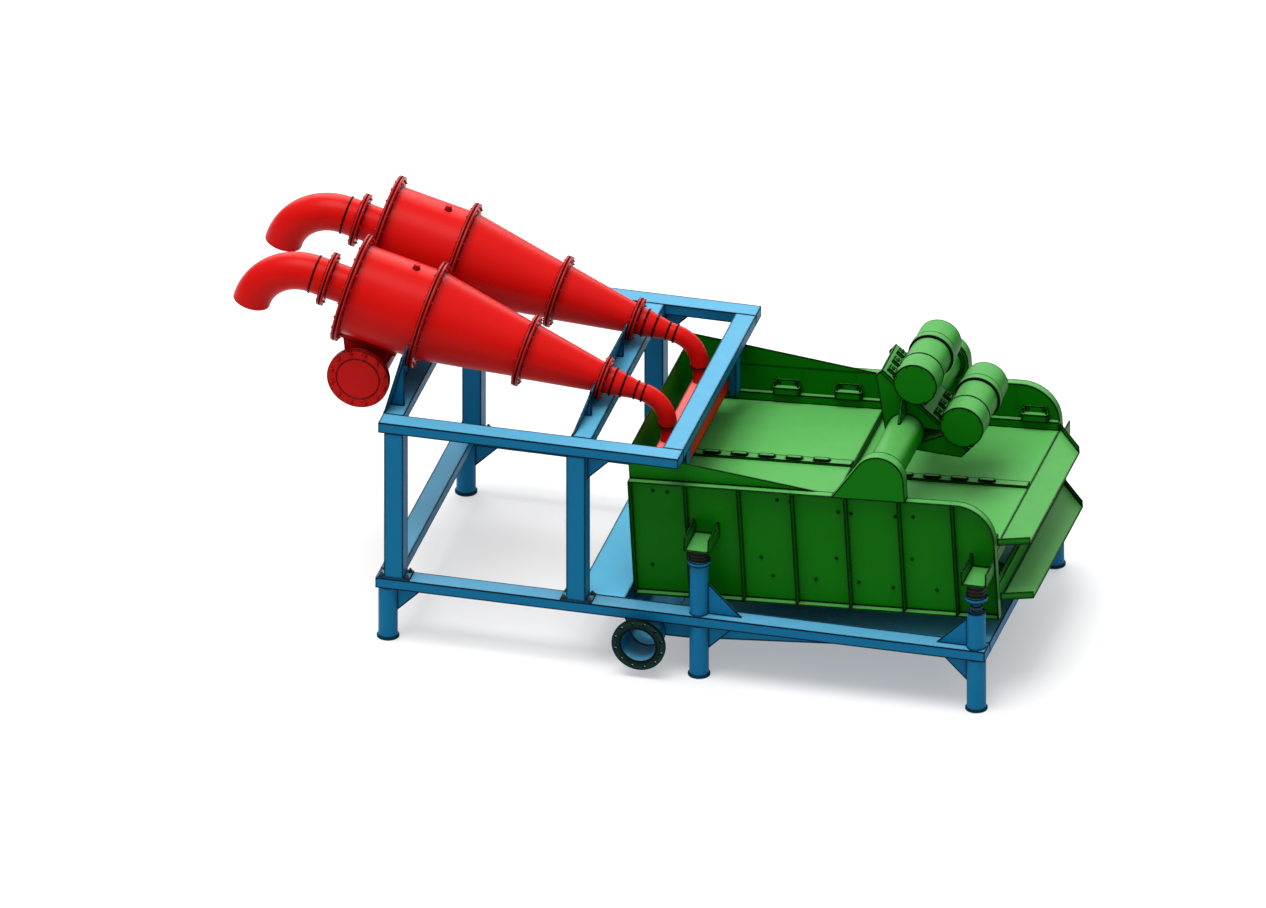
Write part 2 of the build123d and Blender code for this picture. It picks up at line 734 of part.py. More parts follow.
for side in (-1, 1):
    inner_y = mid_y + side * plate_edge
    outer_y = mid_y + side * box_half_width
    rim_y = outer_y + flange_width if side > 0 else outer_y
    with BuildPart() as side_plate:
        with BuildSketch(box_plane(max(inner_y, outer_y))):
            add(plate_outline())
        extrude(amount=side_plate_thickness)
        with BuildSketch(box_plane(rim_y)):
            add(flange_outline())
            offset(flange_outline(), amount=-side_plate_thickness, mode=Mode.SUBTRACT)
            for number in range(rib_count):
                with Locations((rib_start + number * rib_pitch, box_height / 2)):
                    Rectangle(side_plate_thickness, box_height - side_plate_thickness)
        extrude(amount=flange_width)
        with BuildSketch(box_plane(mid_y + side * plate_edge)):
            with Locations((wing_length / 2, box_height + wing_height / 2)):
                Rectangle(wing_length, wing_height)
        extrude(amount=-side * wing_setback, mode=Mode.SUBTRACT)
        with BuildSketch(box_plane(mid_y + side * (plate_edge - ear_doubler))):
            add(ear_outline())
        extrude(amount=-side * (ear_doubler + side_plate_thickness + flange_width))
        # level spring brackets welded to the plate: a base plate with a cheek each side
        bracket_reach = bracket_outer - box_half_width
        bracket_y = outer_y + side * bracket_reach / 2
        for post_x in (mid_leg_x, right_leg_x):
            with BuildSketch(Plane.XY.offset(spring_plate_level)):
                with Locations((post_x, bracket_y)):
                    Rectangle(2 * bracket_half_width, bracket_reach)
            extrude(amount=bracket_plate)
            with BuildSketch(Plane.XY.offset(spring_plate_level)):
                for hand in (-1, 1):
                    with Locations((post_x + hand * (bracket_half_width - bracket_plate / 2), bracket_y)):
                        Rectangle(bracket_plate, bracket_reach)
            extrude(amount=bracket_plate + bracket_cheek)
    save(side_plate, f"side_plate_{side_name(side)}")

# Back plate at the feed end
with BuildPart() as back_plate:
    with BuildSketch(deck_plane(back_plate_bottom)):
        with Locations((side_plate_thickness / 2, 0)):
            Rectangle(side_plate_thickness, 2 * plate_edge)
    extrude(amount=box_height + wing_height - back_plate_bottom)
save(back_plate, "back_plate")

# Deck: a feed panel and a lower discharge panel, with the step plate between them
with BuildPart() as deck_feed_panel:
    with BuildSketch(deck_plane(deck_feed_level - deck_thickness)):
        with Locations(((side_plate_thickness + deck_step_u) / 2, 0)):
            Rectangle(deck_step_u - side_plate_thickness, 2 * plate_edge)
    extrude(amount=deck_thickness)
save(deck_feed_panel, "deck_feed_panel")

lower_level = deck_feed_level - deck_step
with BuildPart() as deck_discharge_panel:
    with BuildSketch(deck_plane(lower_level - deck_thickness)):
        with Locations(((box_length + deck_step_u) / 2, 0)):
            Rectangle(box_length - deck_step_u, 2 * plate_edge)
    extrude(amount=deck_thickness)
    with BuildSketch(deck_plane(lower_level - deck_thickness)):
        with Locations((deck_step_u - side_plate_thickness / 2, 0)):
            Rectangle(side_plate_thickness, 2 * plate_edge)
    extrude(amount=deck_step)
save(deck_discharge_panel, "deck_discharge_panel")

# Hold-down bars along both side plates and the centre line, in two lengths for the two deck levels
deck_runs = ((side_plate_thickness, deck_step_u, deck_feed_level), (deck_step_u, box_length, lower_level))
with BuildPart() as hold_down_bars:
    for run_start, run_end, level in deck_runs:
        with BuildSketch(deck_plane(level)):
            for side in (-1, 1):
                with Locations(((run_start + run_end) / 2, side * (plate_edge - clamp_rail_width / 2))):
                    Rectangle(run_end - run_start, clamp_rail_width)
        extrude(amount=clamp_rail_height)
        with BuildSketch(deck_plane(level)):
            with Locations(((run_start + run_end) / 2, 0)):
                Rectangle(run_end - run_start, centre_bar_width)
        extrude(amount=centre_bar_height)
        # clamp brackets bolted to the side plates press on the side bars
        with BuildSketch(deck_plane(level + clamp_rail_height)):
            for number in range(clamp_count):
                clamp_u = clamp_start + number * clamp_pitch
                if run_start < clamp_u < run_end:
                    for side in (-1, 1):
                        with Locations((clamp_u, side * (plate_edge - clamp_wall / 2))):
                            Rectangle(clamp_length, clamp_wall)
                        for hand in (-1, 1):
                            with Locations((clamp_u + hand * (clamp_length - clamp_wall) / 2,
                                            side * (plate_edge - clamp_depth / 2))):
                                Rectangle(clamp_wall, clamp_depth)
        extrude(amount=clamp_height)
        # wedges driven into the centre bar
        with BuildSketch(deck_plane(level + centre_bar_height)):
            for number in range(wedge_count):
                wedge_u = wedge_start + number * wedge_pitch
                if run_start < wedge_u - wedge_length / 2 and wedge_u + wedge_length / 2 < run_end:
                    with Locations((wedge_u, 0)):
                        SlotOverall(wedge_length, wedge_width)
        extrude(amount=wedge_height)
save(hold_down_bars, "hold_down_bars")

# Cross members under the deck, held between the side plates
member_end = deck_step_u - side_plate_thickness
member_runs = ((side_plate_thickness, member_end, deck_feed_level), (deck_step_u, box_length, lower_level))
with BuildPart() as deck_cross_members:
    for run_start, run_end, level in member_runs:
        member_pitch = (run_end - run_start - cross_member_width) / (cross_member_count - 1)
        with BuildSketch(deck_plane(level - deck_thickness - cross_member_side)):
            for number in range(cross_member_count):
                with Locations((run_start + cross_member_width / 2 + number * member_pitch, 0)):
                    Rectangle(cross_member_width, 2 * plate_edge)
        extrude(amount=cross_member_side)
save(deck_cross_members, "deck_cross_members")

# Lower frame: an open grid of bars across the box, ending in the discharge beam
with BuildPart() as lower_frame:
    with BuildSketch(deck_plane(lower_frame_level)):
        frame_start = lower_frame_bar
        frame_pitch = (box_length - lower_frame_bar - frame_start) / (lower_frame_count - 1)
        for number in range(lower_frame_count):
            with Locations((frame_start + lower_frame_bar / 2 + number * frame_pitch, 0)):
                Rectangle(lower_frame_bar, 2 * plate_edge)
        for line in (-1, 0, 1):
            with Locations(((frame_start + box_length) / 2, line * plate_edge * 2 / 3)):
                Rectangle(box_length - frame_start, lower_frame_bar / 2)
    extrude(amount=lower_frame_height)
save(lower_frame, "lower_frame")

# Discharge lips: two sloping pans past the end of the box, narrower at the outer edge, with low cheeks
lip_half = plate_edge - lip_taper


def lip_profile(level, below, above):
    """Side view of a lip between two heights that follow its slope."""
    return Polyline((box_length, level - below), (box_length + lip_reach, level - lip_drop - below),
                    (box_length + lip_reach, level - lip_drop + above),
                    (box_length, level + above), close=True)


with BuildPart() as discharge_lips:
    for level in (lower_level, lower_level - lower_lip_drop):
        with BuildSketch(box_plane(mid_y + plate_edge)):
            with BuildLine():
                lip_profile(level, lip_plate, lip_cheek)
            make_face()
        extrude(amount=2 * plate_edge)
    with BuildSketch(deck_plane(0)):
        with BuildLine():
            Polyline((box_length, -plate_edge), (box_length + lip_reach, -lip_half),
                     (box_length + lip_reach, lip_half), (box_length, plate_edge), close=True)
        make_face()
    extrude(amount=box_height, mode=Mode.INTERSECT)
    for level in (lower_level, lower_level - lower_lip_drop):
        with BuildSketch(box_plane(mid_y)):
            with BuildLine():
                lip_profile(level, 0, 2 * lip_cheek)
            make_face()
        hollow = extrude(amount=plate_edge, both=True, mode=Mode.PRIVATE)
        with BuildSketch(deck_plane(0)):
            with BuildLine():
                Polyline((box_length, lip_plate - plate_edge), (box_length + lip_reach, lip_plate - lip_half),
                         (box_length + lip_reach, lip_half - lip_plate), (box_length, plate_edge - lip_plate),
                         close=True)
            make_face()
        prism = extrude(amount=box_height, mode=Mode.PRIVATE)
        add(hollow & prism, mode=Mode.SUBTRACT)
save(discharge_lips, "discharge_lips")

# Exciter cross tube between the ears, with a collar at each end
tube_half = plate_edge - ear_doubler
with BuildPart() as cross_tube:
    with BuildSketch(box_plane(mid_y + tube_half)):
        with Locations((ear_u, ear_v)):
            Circle(tube_radius)
    extrude(amount=2 * tube_half)
    for collar_y in (mid_y + tube_half, mid_y - tube_half + collar_thickness):
        with BuildSketch(box_plane(collar_y)):
            with Locations((ear_u, ear_v)):
                Circle(tube_radius + collar_margin)
        extrude(amount=collar_thickness)
    with BuildSketch(box_plane(mid_y + tube_half)):
        with Locations((ear_u, ear_v)):
            Circle(tube_radius - tube_wall)
    extrude(amount=2 * tube_half, mode=Mode.SUBTRACT)
save(cross_tube, "cross_tube")

# Motor bench: an inclined plate on two cheeks that grip the cross tube. Each cheek is a deep upper plate
# and a slim lower arm with an open triangle between them.
bench_dir = radians(bench_angle)
normal = (sin(bench_dir), cos(bench_dir))
run = (cos(bench_dir), -sin(bench_dir))
bench_end = motor_pitch + bench_overhang_bottom


def bench_point(along, height):
    """u and v of a point given along the bench from the upper motor's axis, and above the bench face."""
    reach = height - motor_foot_height
    return (motor_u + run[0] * along + normal[0] * reach, motor_v + run[1] * along + normal[1] * reach)


def ear_point(forward, rise):
    """u and v of a point given from the cross tube's axis."""
    return (ear_u + forward, ear_v + rise)


# the lower arm's top edge runs from the tube up to the underside of the bench
arm_start = ear_point(tube_radius * 0.6, -tube_radius * 0.7)
arm_end = bench_point(motor_pitch * 0.98, -bench_thickness)
with BuildPart() as motor_bench:
    with BuildSketch(box_plane(mid_y + bench_half_width)):
        with BuildLine():
            Polyline(bench_point(-bench_overhang_top, 0), bench_point(bench_end, 0),
                     bench_point(bench_end, -bench_thickness),
                     bench_point(-bench_overhang_top, -bench_thickness),
                     close=True)
        make_face()
    extrude(amount=2 * bench_half_width)
    for side in (-1, 1):
        cheek_y = mid_y + side * (bench_half_width - bench_cheek_inset - bench_cheek / 2) + bench_cheek / 2
        with BuildSketch(box_plane(cheek_y)):
            with BuildLine():
                Polyline(bench_point(-bench_overhang_top, -bench_thickness),
                         bench_point(motor_pitch * 0.93, -bench_thickness),
                         ear_point(tube_radius, tube_radius * 0.2), ear_point(0, 0),
                         ear_point(-tube_radius * 1.16, 0),
                         bench_point(-bench_overhang_top, -bench_thickness - bench_shoulder), close=True)
            make_face()
            with BuildLine():
                Polyline(arm_start, arm_end, bench_point(bench_end, -bench_thickness),
                         bench_point(bench_end, -bench_thickness - bench_shoulder * 1.5),
                         ear_point(0, -tube_radius * 1.08), ear_point(0, -tube_radius * 0.7), close=True)
            make_face()
        extrude(amount=bench_cheek)
        # upright rib from the tube to the outside of the cheek
        cheek_face = bench_half_width - bench_cheek_inset
        rib_plane = Plane(origin=box_point(ear_u - bench_cheek / 2, ear_v, mid_y), x_dir=(0, 1, 0),
                          z_dir=(cos(tilt), 0, sin(tilt)))
        rib_height = bench_point(0, -bench_thickness)[1] - ear_v - bench_cheek
        with BuildSketch(rib_plane):
            with BuildLine():
                Polyline((side * (cheek_face - bench_cheek / 2), tube_radius * 0.9),
                         (side * (cheek_face + tube_rib_reach), tube_radius * 0.9),
                         (side * (cheek_face + tube_rib_top), rib_height),
                         (side * (cheek_face - bench_cheek / 2), rib_height), close=True)
            make_face()
        extrude(amount=bench_cheek)
    # web on top of the lower arms, let into the bench plate
    web_end = (arm_end[0] + bench_thickness * 0.4, arm_end[1] + bench_thickness * 0.16)
    with BuildSketch(box_plane(mid_y + bench_half_width - bench_cheek_inset - bench_cheek / 2)):
        with BuildLine():
            Polyline(arm_start, arm_end, web_end, (web_end[0], web_end[1] - arm_web),
                     (arm_start[0], arm_start[1] - arm_web), close=True)
        make_face()
    extrude(amount=2 * (bench_half_width - bench_cheek_inset) - bench_cheek)
    # seat round the cross tube
    with BuildSketch(box_plane(mid_y + bench_half_width + tube_rib_reach)):
        with Locations((ear_u, ear_v)):
            Circle(tube_radius + seat_gap)
    extrude(amount=2 * (bench_half_width + tube_rib_reach), mode=Mode.SUBTRACT)
save(motor_bench, "motor_bench")

# Vibrator motors: body with a clamping band and end covers, on a foot pad with three bolt lugs a side
for number, name in ((0, "motor_upper"), (1, "motor_lower")):
    along = number * motor_pitch
    motor_axis = bench_point(along, motor_foot_height)
    near_face = mid_y - motor_near_reach + motor_length
    band_near = motor_length - motor_band_start - motor_band_length
    with BuildPart() as motor:
        with BuildSketch(box_plane(near_face)):
            with Locations(motor_axis):
                Circle(motor_radius - motor_body_inset)
        extrude(amount=motor_length)
        for ring_start, ring_length, ring_radius in (
                (0, band_near, motor_radius), (band_near, motor_band_length, motor_radius + motor_band_rise),
                (motor_length - motor_cover, motor_cover, motor_radius)):
            with BuildSketch(box_plane(near_face - ring_start)):
                with Locations(motor_axis):
                    Circle(ring_radius)
            extrude(amount=ring_length)
        with BuildSketch(box_plane(mid_y + foot_half_length)):
            with BuildLine():
                Polyline(bench_point(along - foot_half_width, 0), bench_point(along + foot_half_width, 0),
                         bench_point(along + foot_web_half_width, motor_foot_height / 2),
                         bench_point(along - foot_web_half_width, motor_foot_height / 2), close=True)
            make_face()
        extrude(amount=2 * foot_half_length)
        for lug in (-1, 0, 1):
            with BuildSketch(box_plane(mid_y + lug * lug_pitch + lug_width / 2)):
                with BuildLine():
                    Polyline(bench_point(along - lug_reach, 0), bench_point(along + lug_reach, 0),
                             bench_point(along + lug_reach, foot_pad),
                             bench_point(along - lug_reach, foot_pad),
                             close=True)
                make_face()
            extrude(amount=lug_width)
    save(motor, name)

# Spring posts on the base rails: the middle pair is tall, the right pair carries a jack screw
for side in (-1, 1):
    post_y = mid_y + side * leg_gauge / 2
    with BuildPart() as spring_posts:
        for post_x, top, gusset, hand in ((mid_leg_x, mid_cup_base, mid_spring_gusset, 1),
                                          (right_leg_x, right_post_top, right_spring_gusset, -1)):
            with BuildSketch(Plane.XY.offset(rail_top)):
                with Locations((post_x, post_y)):
                    Circle(spring_post_radius)
            extrude(amount=top - rail_top)
            with BuildSketch(upright(post_y + gusset_thickness / 2)):
                root = post_x + hand * spring_post_radius * 0.6
                edge = post_x + hand * spring_post_radius
                with BuildLine():
                    Polyline((root, rail_top), (edge + hand * gusset, rail_top), (edge, rail_top + gusset),
                             (root, rail_top + gusset), close=True)
                make_face()
            extrude(amount=gusset_thickness)
            cup_base = mid_cup_base if hand > 0 else right_cup_base
            if cup_base > top:
                with BuildSketch(Plane.XY.offset(top)):
                    with Locations((post_x, post_y)):
                        Circle(jack_radius)
                extrude(amount=cup_base - top)
            with BuildSketch(Plane.XY.offset(cup_base)):
                with Locations((post_x, post_y)):
                    Circle(cup_radius)
            extrude(amount=cup_height)
            with BuildSketch(Plane.XY.offset(cup_base + cup_floor)):
                with Locations((post_x, post_y)):
                    Circle(spring_radius + spring_clearance)
            extrude(amount=cup_height, mode=Mode.SUBTRACT)
    save(spring_posts, f"spring_posts_{side_name(side)}")

with BuildPart() as rubber_springs:
    for side in (-1, 1):
        for post_x, cup_base in ((mid_leg_x, mid_cup_base), (right_leg_x, right_cup_base)):
            bottom = cup_base + cup_floor
            with BuildSketch(Plane.XY.offset(bottom)):
                with Locations((post_x, mid_y + side * leg_gauge / 2)):
                    Circle(spring_radius)
            extrude(amount=spring_plate_level - bottom)
save(rubber_springs, "rubber_springs")
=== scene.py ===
import math

import bpy
import numpy as np
from mathutils import Matrix


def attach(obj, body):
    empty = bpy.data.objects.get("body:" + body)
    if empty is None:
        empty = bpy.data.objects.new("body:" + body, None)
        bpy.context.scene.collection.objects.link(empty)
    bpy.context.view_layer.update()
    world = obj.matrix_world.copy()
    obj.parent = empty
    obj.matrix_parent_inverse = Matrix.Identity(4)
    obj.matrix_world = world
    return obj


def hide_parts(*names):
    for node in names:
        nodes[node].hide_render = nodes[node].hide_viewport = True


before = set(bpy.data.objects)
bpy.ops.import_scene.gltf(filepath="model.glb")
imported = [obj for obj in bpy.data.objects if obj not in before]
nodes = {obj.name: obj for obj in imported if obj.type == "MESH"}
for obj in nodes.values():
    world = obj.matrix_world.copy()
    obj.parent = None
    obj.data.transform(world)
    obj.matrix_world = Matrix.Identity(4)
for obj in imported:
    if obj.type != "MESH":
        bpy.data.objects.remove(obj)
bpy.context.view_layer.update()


# Blue frame steel
# The base frame and the cyclone frame are mill sections welded into one skid, blasted and painted blue.
# Tops are painted paler as painted light from above, in patches like dust; dark dirt gathers along every
# arris and weld.

# blue paint, its tops painted paler as painted light from above, and its edge colour
BLUE = (0.0040, 0.128, 0.268)
BLUE_LIT_TOP = (0.068, 0.256, 0.392)
BLUE_EDGE = (0.001, 0.006, 0.010)
# the machine's middle, how far the leg lines stand from it, and the inner faces of the rails, in metres
MID_Y = 1.115
LEG_Y = 1.115
RAIL_IN = 1.040
RAIL_LOW, RAIL_TOP = 0.420, 0.500
UPPER_LOW, UPPER_TOP = 1.682, 1.762
# rail ends, the middle cross beam of the cyclone frame, and the width of a beam
BASE_ENDS = (-0.075, 4.425)
UPPER_ENDS = (-0.055, 2.161)
UPPER_MID = 1.333
BEAM = 0.150
# square posts on foot plates with four bolts each, and round legs on discs
POST_X = (0.058, 1.403)
POST_HALF = 0.070
FOOT_PLATE_TOP = RAIL_TOP + 0.012
FOOT_BOLT_X, FOOT_BOLT_Y = 0.094, 0.050
FOOT_BOLT = 0.020
LEG_X = (0.0, 2.297, 4.345)
LEG_RADIUS = 0.070
LEG_PLATE_TOP = 0.014
# gussets of 12 mm plate, and the girths of the weld beads
GUSSET_HALF = 0.006
POST_GUSSET, LEG_GUSSET = 0.205, 0.200
BEAD, STOUT_BEAD = 0.0045, 0.005
# corners of a square, back to the first
SQUARE = ((-1, -1), (1, -1), (1, 1), (-1, 1), (-1, -1))
UPRIGHT = (0, 0, 1)


def paint_group():
    """Painted metal: slow colour drift, tops painted paler as painted light from above, dark lines along
    edges and a faint orange peel.

    The edge mask is 1 - cos of the lean between the true normal and one rounded over the edge width. What
    it has over the least lean is multiplied by the gain.
    """
    least_lean, gain = 0.0045, 110.0
    group = bpy.data.node_groups.new("paint_coat", "ShaderNodeTree")
    face = group.interface
    for name in ("Paint", "Shade", "Top", "Edge"):
        face.new_socket(name, in_out="INPUT", socket_type="NodeSocketColor")
    for name in ("Top From", "Top To", "Edge Width", "Edge Strength", "Gloss"):
        face.new_socket(name, in_out="INPUT", socket_type="NodeSocketFloat")
    face.new_socket("Colour", in_out="OUTPUT", socket_type="NodeSocketColor")
    face.new_socket("Roughness", in_out="OUTPUT", socket_type="NodeSocketFloat")
    face.new_socket("Height", in_out="OUTPUT", socket_type="NodeSocketFloat")
    tree, link = group.nodes, group.links.new
    given = tree.new("NodeGroupInput")
    put = tree.new("NodeGroupOutput")
    place = tree.new("ShaderNodeTexCoord")

    def noise(scale, detail):
        """Noise at Object coordinates."""
        node = tree.new("ShaderNodeTexNoise")
        node.inputs["Scale"].default_value = scale
        node.inputs["Detail"].default_value = detail
        link(place.outputs["Object"], node.inputs["Vector"])
        return node.outputs["Fac"]

    def maths(kind, a, b):
        """One step of arithmetic between two sockets or numbers."""
        node = tree.new("ShaderNodeMath")
        node.operation = kind
        node.use_clamp = kind in ("MULTIPLY", "ADD")
        for socket, value in zip(node.inputs, (a, b)):
            if isinstance(value, (int, float)):
                socket.default_value = value
            else:
                link(value, socket)
        return node.outputs[0]

    def mixed(mask, a, b):
        """Colour a where the mask is 0 and b where it is 1."""
        node = tree.new("ShaderNodeMix")
        node.data_type = "RGBA"
        link(mask, node.inputs["Factor"])
        link(a, node.inputs["A"])
        link(b, node.inputs["B"])
        return node.outputs["Result"]

    body = mixed(noise(1.7, 3.0), given.outputs["Paint"], given.outputs["Shade"])
    # painted top light: faces are painted paler the more they look up, as if lit from above, broken in
    # patches like dust
    normal = tree.new("ShaderNodeNewGeometry")
    split = tree.new("ShaderNodeSeparateXYZ")
    link(normal.outputs["Normal"], split.inputs[0])
    top_light = tree.new("ShaderNodeMapRange")
    top_light.interpolation_type = "SMOOTHSTEP"
    link(split.outputs["Z"], top_light.inputs["Value"])
    link(given.outputs["Top From"], top_light.inputs["From Min"])
    link(given.outputs["Top To"], top_light.inputs["From Max"])
    patches = maths("ADD", maths("MULTIPLY", noise(11.0, 6.0), 0.26), 0.82)
    body = mixed(maths("MULTIPLY", top_light.outputs["Result"], patches), body, given.outputs["Top"])
    # edge mask: how far the normal, rounded over the edge width, leans from the true one
    rounded = tree.new("ShaderNodeBevel")
    rounded.samples = 8
    link(given.outputs["Edge Width"], rounded.inputs["Radius"])
    lean = tree.new("ShaderNodeVectorMath")
    lean.operation = "DOT_PRODUCT"
    link(rounded.outputs["Normal"], lean.inputs[0])
    link(normal.outputs["Normal"], lean.inputs[1])
    bend = maths("SUBTRACT", maths("SUBTRACT", 1.0, lean.outputs["Value"]), least_lean)
    bend = maths("MULTIPLY", maths("MULTIPLY", bend, gain), maths("ADD", noise(38.0, 4.0), 0.55))
    bend = maths("MULTIPLY", bend, given.outputs["Edge Strength"])
    link(mixed(bend, body, given.outputs["Edge"]), put.inputs["Colour"])
    # dull along the edges and in patches, with a fine peel raised a little at the edges
    rough = maths("ADD", given.outputs["Gloss"], maths("MULTIPLY", noise(6.0, 5.0), 0.16))
    link(maths("ADD", rough, maths("MULTIPLY", bend, 0.2)), put.inputs["Roughness"])
    link(maths("ADD", noise(260.0, 2.0), maths("MULTIPLY", bend, 0.5)), put.inputs["Height"])
    return group


paint_coat = paint_group()


def painted(name, paint, top, edge, top_range=(0.35, 0.80), width=0.021, strength=1.0, gloss=0.34,
            metal=0.0, peel=0.06, specular=0.05):
    """A painted finish built on the shared coat, its upward faces painted in the top colour as light from
    above; gloss is its lowest roughness.
    """
    material = bpy.data.materials.new(name)
    material.use_nodes = True
    tree = material.node_tree
    shader = tree.nodes["Principled BSDF"]
    group = tree.nodes.new("ShaderNodeGroup")
    group.node_tree = paint_coat
    group.inputs["Paint"].default_value = (*paint, 1.0)
    group.inputs["Shade"].default_value = (*(part * 0.84 for part in paint), 1.0)
    # painted top light: the top colour, blended in over the range of upward lean given by top_range
    group.inputs["Top"].default_value = (*top, 1.0)
    group.inputs["Edge"].default_value = (*edge, 1.0)
    group.inputs["Top From"].default_value, group.inputs["Top To"].default_value = top_range
    group.inputs["Edge Width"].default_value = width
    group.inputs["Edge Strength"].default_value = strength
    group.inputs["Gloss"].default_value = gloss
    bump = tree.nodes.new("ShaderNodeBump")
    bump.inputs["Strength"].default_value = peel
    bump.inputs["Distance"].default_value = 0.0006
    tree.links.new(group.outputs["Colour"], shader.inputs["Base Color"])
    tree.links.new(group.outputs["Roughness"], shader.inputs["Roughness"])
    tree.links.new(group.outputs["Height"], bump.inputs["Height"])
    tree.links.new(bump.outputs["Normal"], shader.inputs["Normal"])
    shader.inputs["Metallic"].default_value = metal
    shader.inputs["Specular IOR Level"].default_value = specular
    return material


def finish_nodes(material, *names):
    """Puts a finish on the slots of these nodes."""
    for name in names:
        mesh = nodes[name].data
        if not mesh.materials:
            mesh.materials.append(material)
        for index in range(len(mesh.materials)):
            mesh.materials[index] = material


def piece(name, shape, material, smooth=35.0):
    """A new piece from (points, faces), shaded smooth across edges under an angle."""
    points, faces = shape
    mesh = bpy.data.meshes.new(name)
    mesh.from_pydata(np.asarray(points, float).tolist(), [], [list(map(int, face)) for face in faces])
    mesh.validate()
    mesh.shade_smooth()
    mesh.set_sharp_from_angle(angle=math.radians(smooth))
    mesh.materials.append(material)
    made = bpy.data.objects.new(name, mesh)
    bpy.context.scene.collection.objects.link(made)
    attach(made, "root")
    return made


def joined(*shapes):
    """Several (points, faces) shapes as one, with the faces renumbered."""
    points, faces, start = [], [], 0
    for some, index in shapes:
        points.append(some)
        faces.extend(tuple(i + start for i in face) for face in index)
        start += len(some)
    return np.concatenate(points), faces


def skinned(grid, round_rows):
    """Faces of a (rows, columns, 3) grid closed round its columns; the rows close too, or get end caps."""
    rows, cols = grid.shape[:2]
    row = np.arange(rows if round_rows else rows - 1)[:, None]
    col = np.arange(cols)[None]
    after, turn = (row + 1) % rows, (col + 1) % cols
    here, there = row * cols, after * cols
    quads = np.stack([here + col, here + turn, there + turn, there + col], axis=-1)
    faces = list(map(tuple, quads.reshape(-1, 4).tolist()))
    if not round_rows:
        faces.append(tuple(range(cols - 1, -1, -1)))
        faces.append(tuple(range((rows - 1) * cols, rows * cols)))
    return grid.reshape(-1, 3), faces


def across(axis):
    """An axis as a unit vector, and two more square to it: side, up and axis are right-handed."""
    axis = np.asarray(axis, float)
    axis = axis / np.linalg.norm(axis)
    guide = (1.0, 0.0, 0.0) if abs(axis[2]) > 0.9 else (0.0, 0.0, 1.0)
    side = np.cross(guide, axis)
    side /= np.linalg.norm(side)
    return axis, side, np.cross(axis, side)


def turned(profile, places, axis, steps, ring=False):
    """A profile of (along, radius) turned about an axis at each place.

    Point = place + axis * along + radius * (side * cos a + up * sin a). A ring's profile closes on
    itself; any other has a flat face at each end.
    """
    along, radius = np.asarray(profile, float).T
    axis, side, up = across(axis)
    angle = np.arange(steps) * 2 * np.pi / steps
    around = np.cos(angle)[:, None] * side + np.sin(angle)[:, None] * up
    shape = along[:, None, None] * axis + radius[:, None, None] * around
    return joined(*[skinned(shape + np.asarray(place, float), ring) for place in np.atleast_2d(places)])


def hex_bolts(places, axis, size, stub=0.6):
    """Washer, chamfered hexagon and a short thread end on each place; size is the thread diameter."""
    washer_top, head_top, chamfer_top = size * 0.16, size * 0.76, size * 0.86
    washer = turned([(0, size * 1.05), (washer_top, size * 1.05)], places, axis, 10)
    head = turned([(washer_top, size * 0.88), (head_top, size * 0.88), (chamfer_top, size * 0.74)],
                  places, axis, 6)
    thread = turned([(chamfer_top, size * 0.46), (size * (0.86 + stub), size * 0.46)], places, axis, 6)
    return joined(washer, head, thread)


def weld_line(path, thick=BEAD, ripple=0.016):
    """Weld beads along the runs of a path, drawn in at both ends.

    Radius = thick * (1 + 0.16 sin(2.1 s / ripple + 1.3 sin 9t)), with s the way run and t its share.
    """
    path = np.asarray(path, float)
    angle = np.arange(6) * np.pi / 3
    shapes = []
    for start, end in zip(path[:-1], path[1:]):
        length = np.linalg.norm(end - start)
        along, side, up = across(end - start)
        t = np.linspace(0.0, 1.0, max(4, int(length / ripple) + 1))
        girth = thick * (1.0 + 0.16 * np.sin(t * length / ripple * 2.1 + 1.3 * np.sin(t * 9.0)))
        girth[[0, -1]] *= 0.55
        ring = np.cos(angle)[:, None] * side + np.sin(angle)[:, None] * up
        grid = (start + (end - start) * t[:, None])[:, None, :] + girth[:, None, None] * ring
        shapes.append(skinned(grid, False))
    return joined(*shapes)


def weld_ring(place, axis, radius, thick=BEAD, ripple=0.016):
    """A weld bead round a pipe: a small ring whose girth rises and falls with its angle about the axis."""
    axis, side, up = across(axis)
    steps = max(18, int(2 * math.pi * radius / ripple))
    turn = np.arange(steps) * 2 * np.pi / steps
    girth = thick * (1.0 + 0.16 * np.sin(turn * round(steps / 3) + 1.1 * np.sin(3 * turn)))
    around = np.cos(turn)[:, None] * side + np.sin(turn)[:, None] * up
    section = np.arange(6) * np.pi / 3
    grid = (np.asarray(place, float) + (radius + girth[:, None, None] * np.cos(section)[None, :, None])
            * around[:, None, :] + girth[:, None, None] * np.sin(section)[None, :, None] * axis)
    points, faces = skinned(grid, True)
    return points, [face[::-1] for face in faces]


# each finish here has a paler top colour on its upward faces: painted top light
blue_paint = painted("blue_frame_paint", BLUE, BLUE_LIT_TOP, BLUE_EDGE)
blue_weld = painted("blue_weld_paint", (0.002, 0.040, 0.085), (0.004, 0.060, 0.110), BLUE_EDGE,
                    strength=0.4)
zinc = painted("zinc_bolts", (0.020, 0.030, 0.032), (0.090, 0.110, 0.115), (0.001, 0.002, 0.002),
               width=0.003, metal=0.5, gloss=0.4, specular=0.3)
finish_nodes(blue_paint, "base_rail_near", "base_rail_far", "base_cross_beams", "legs_near", "legs_far",
             "posts_near", "posts_far", "upper_rail_near", "upper_rail_far", "upper_cross_beams",
             "saddle_left", "saddle_mid", "feed_box_hangers", "spring_posts_near", "spring_posts_far")

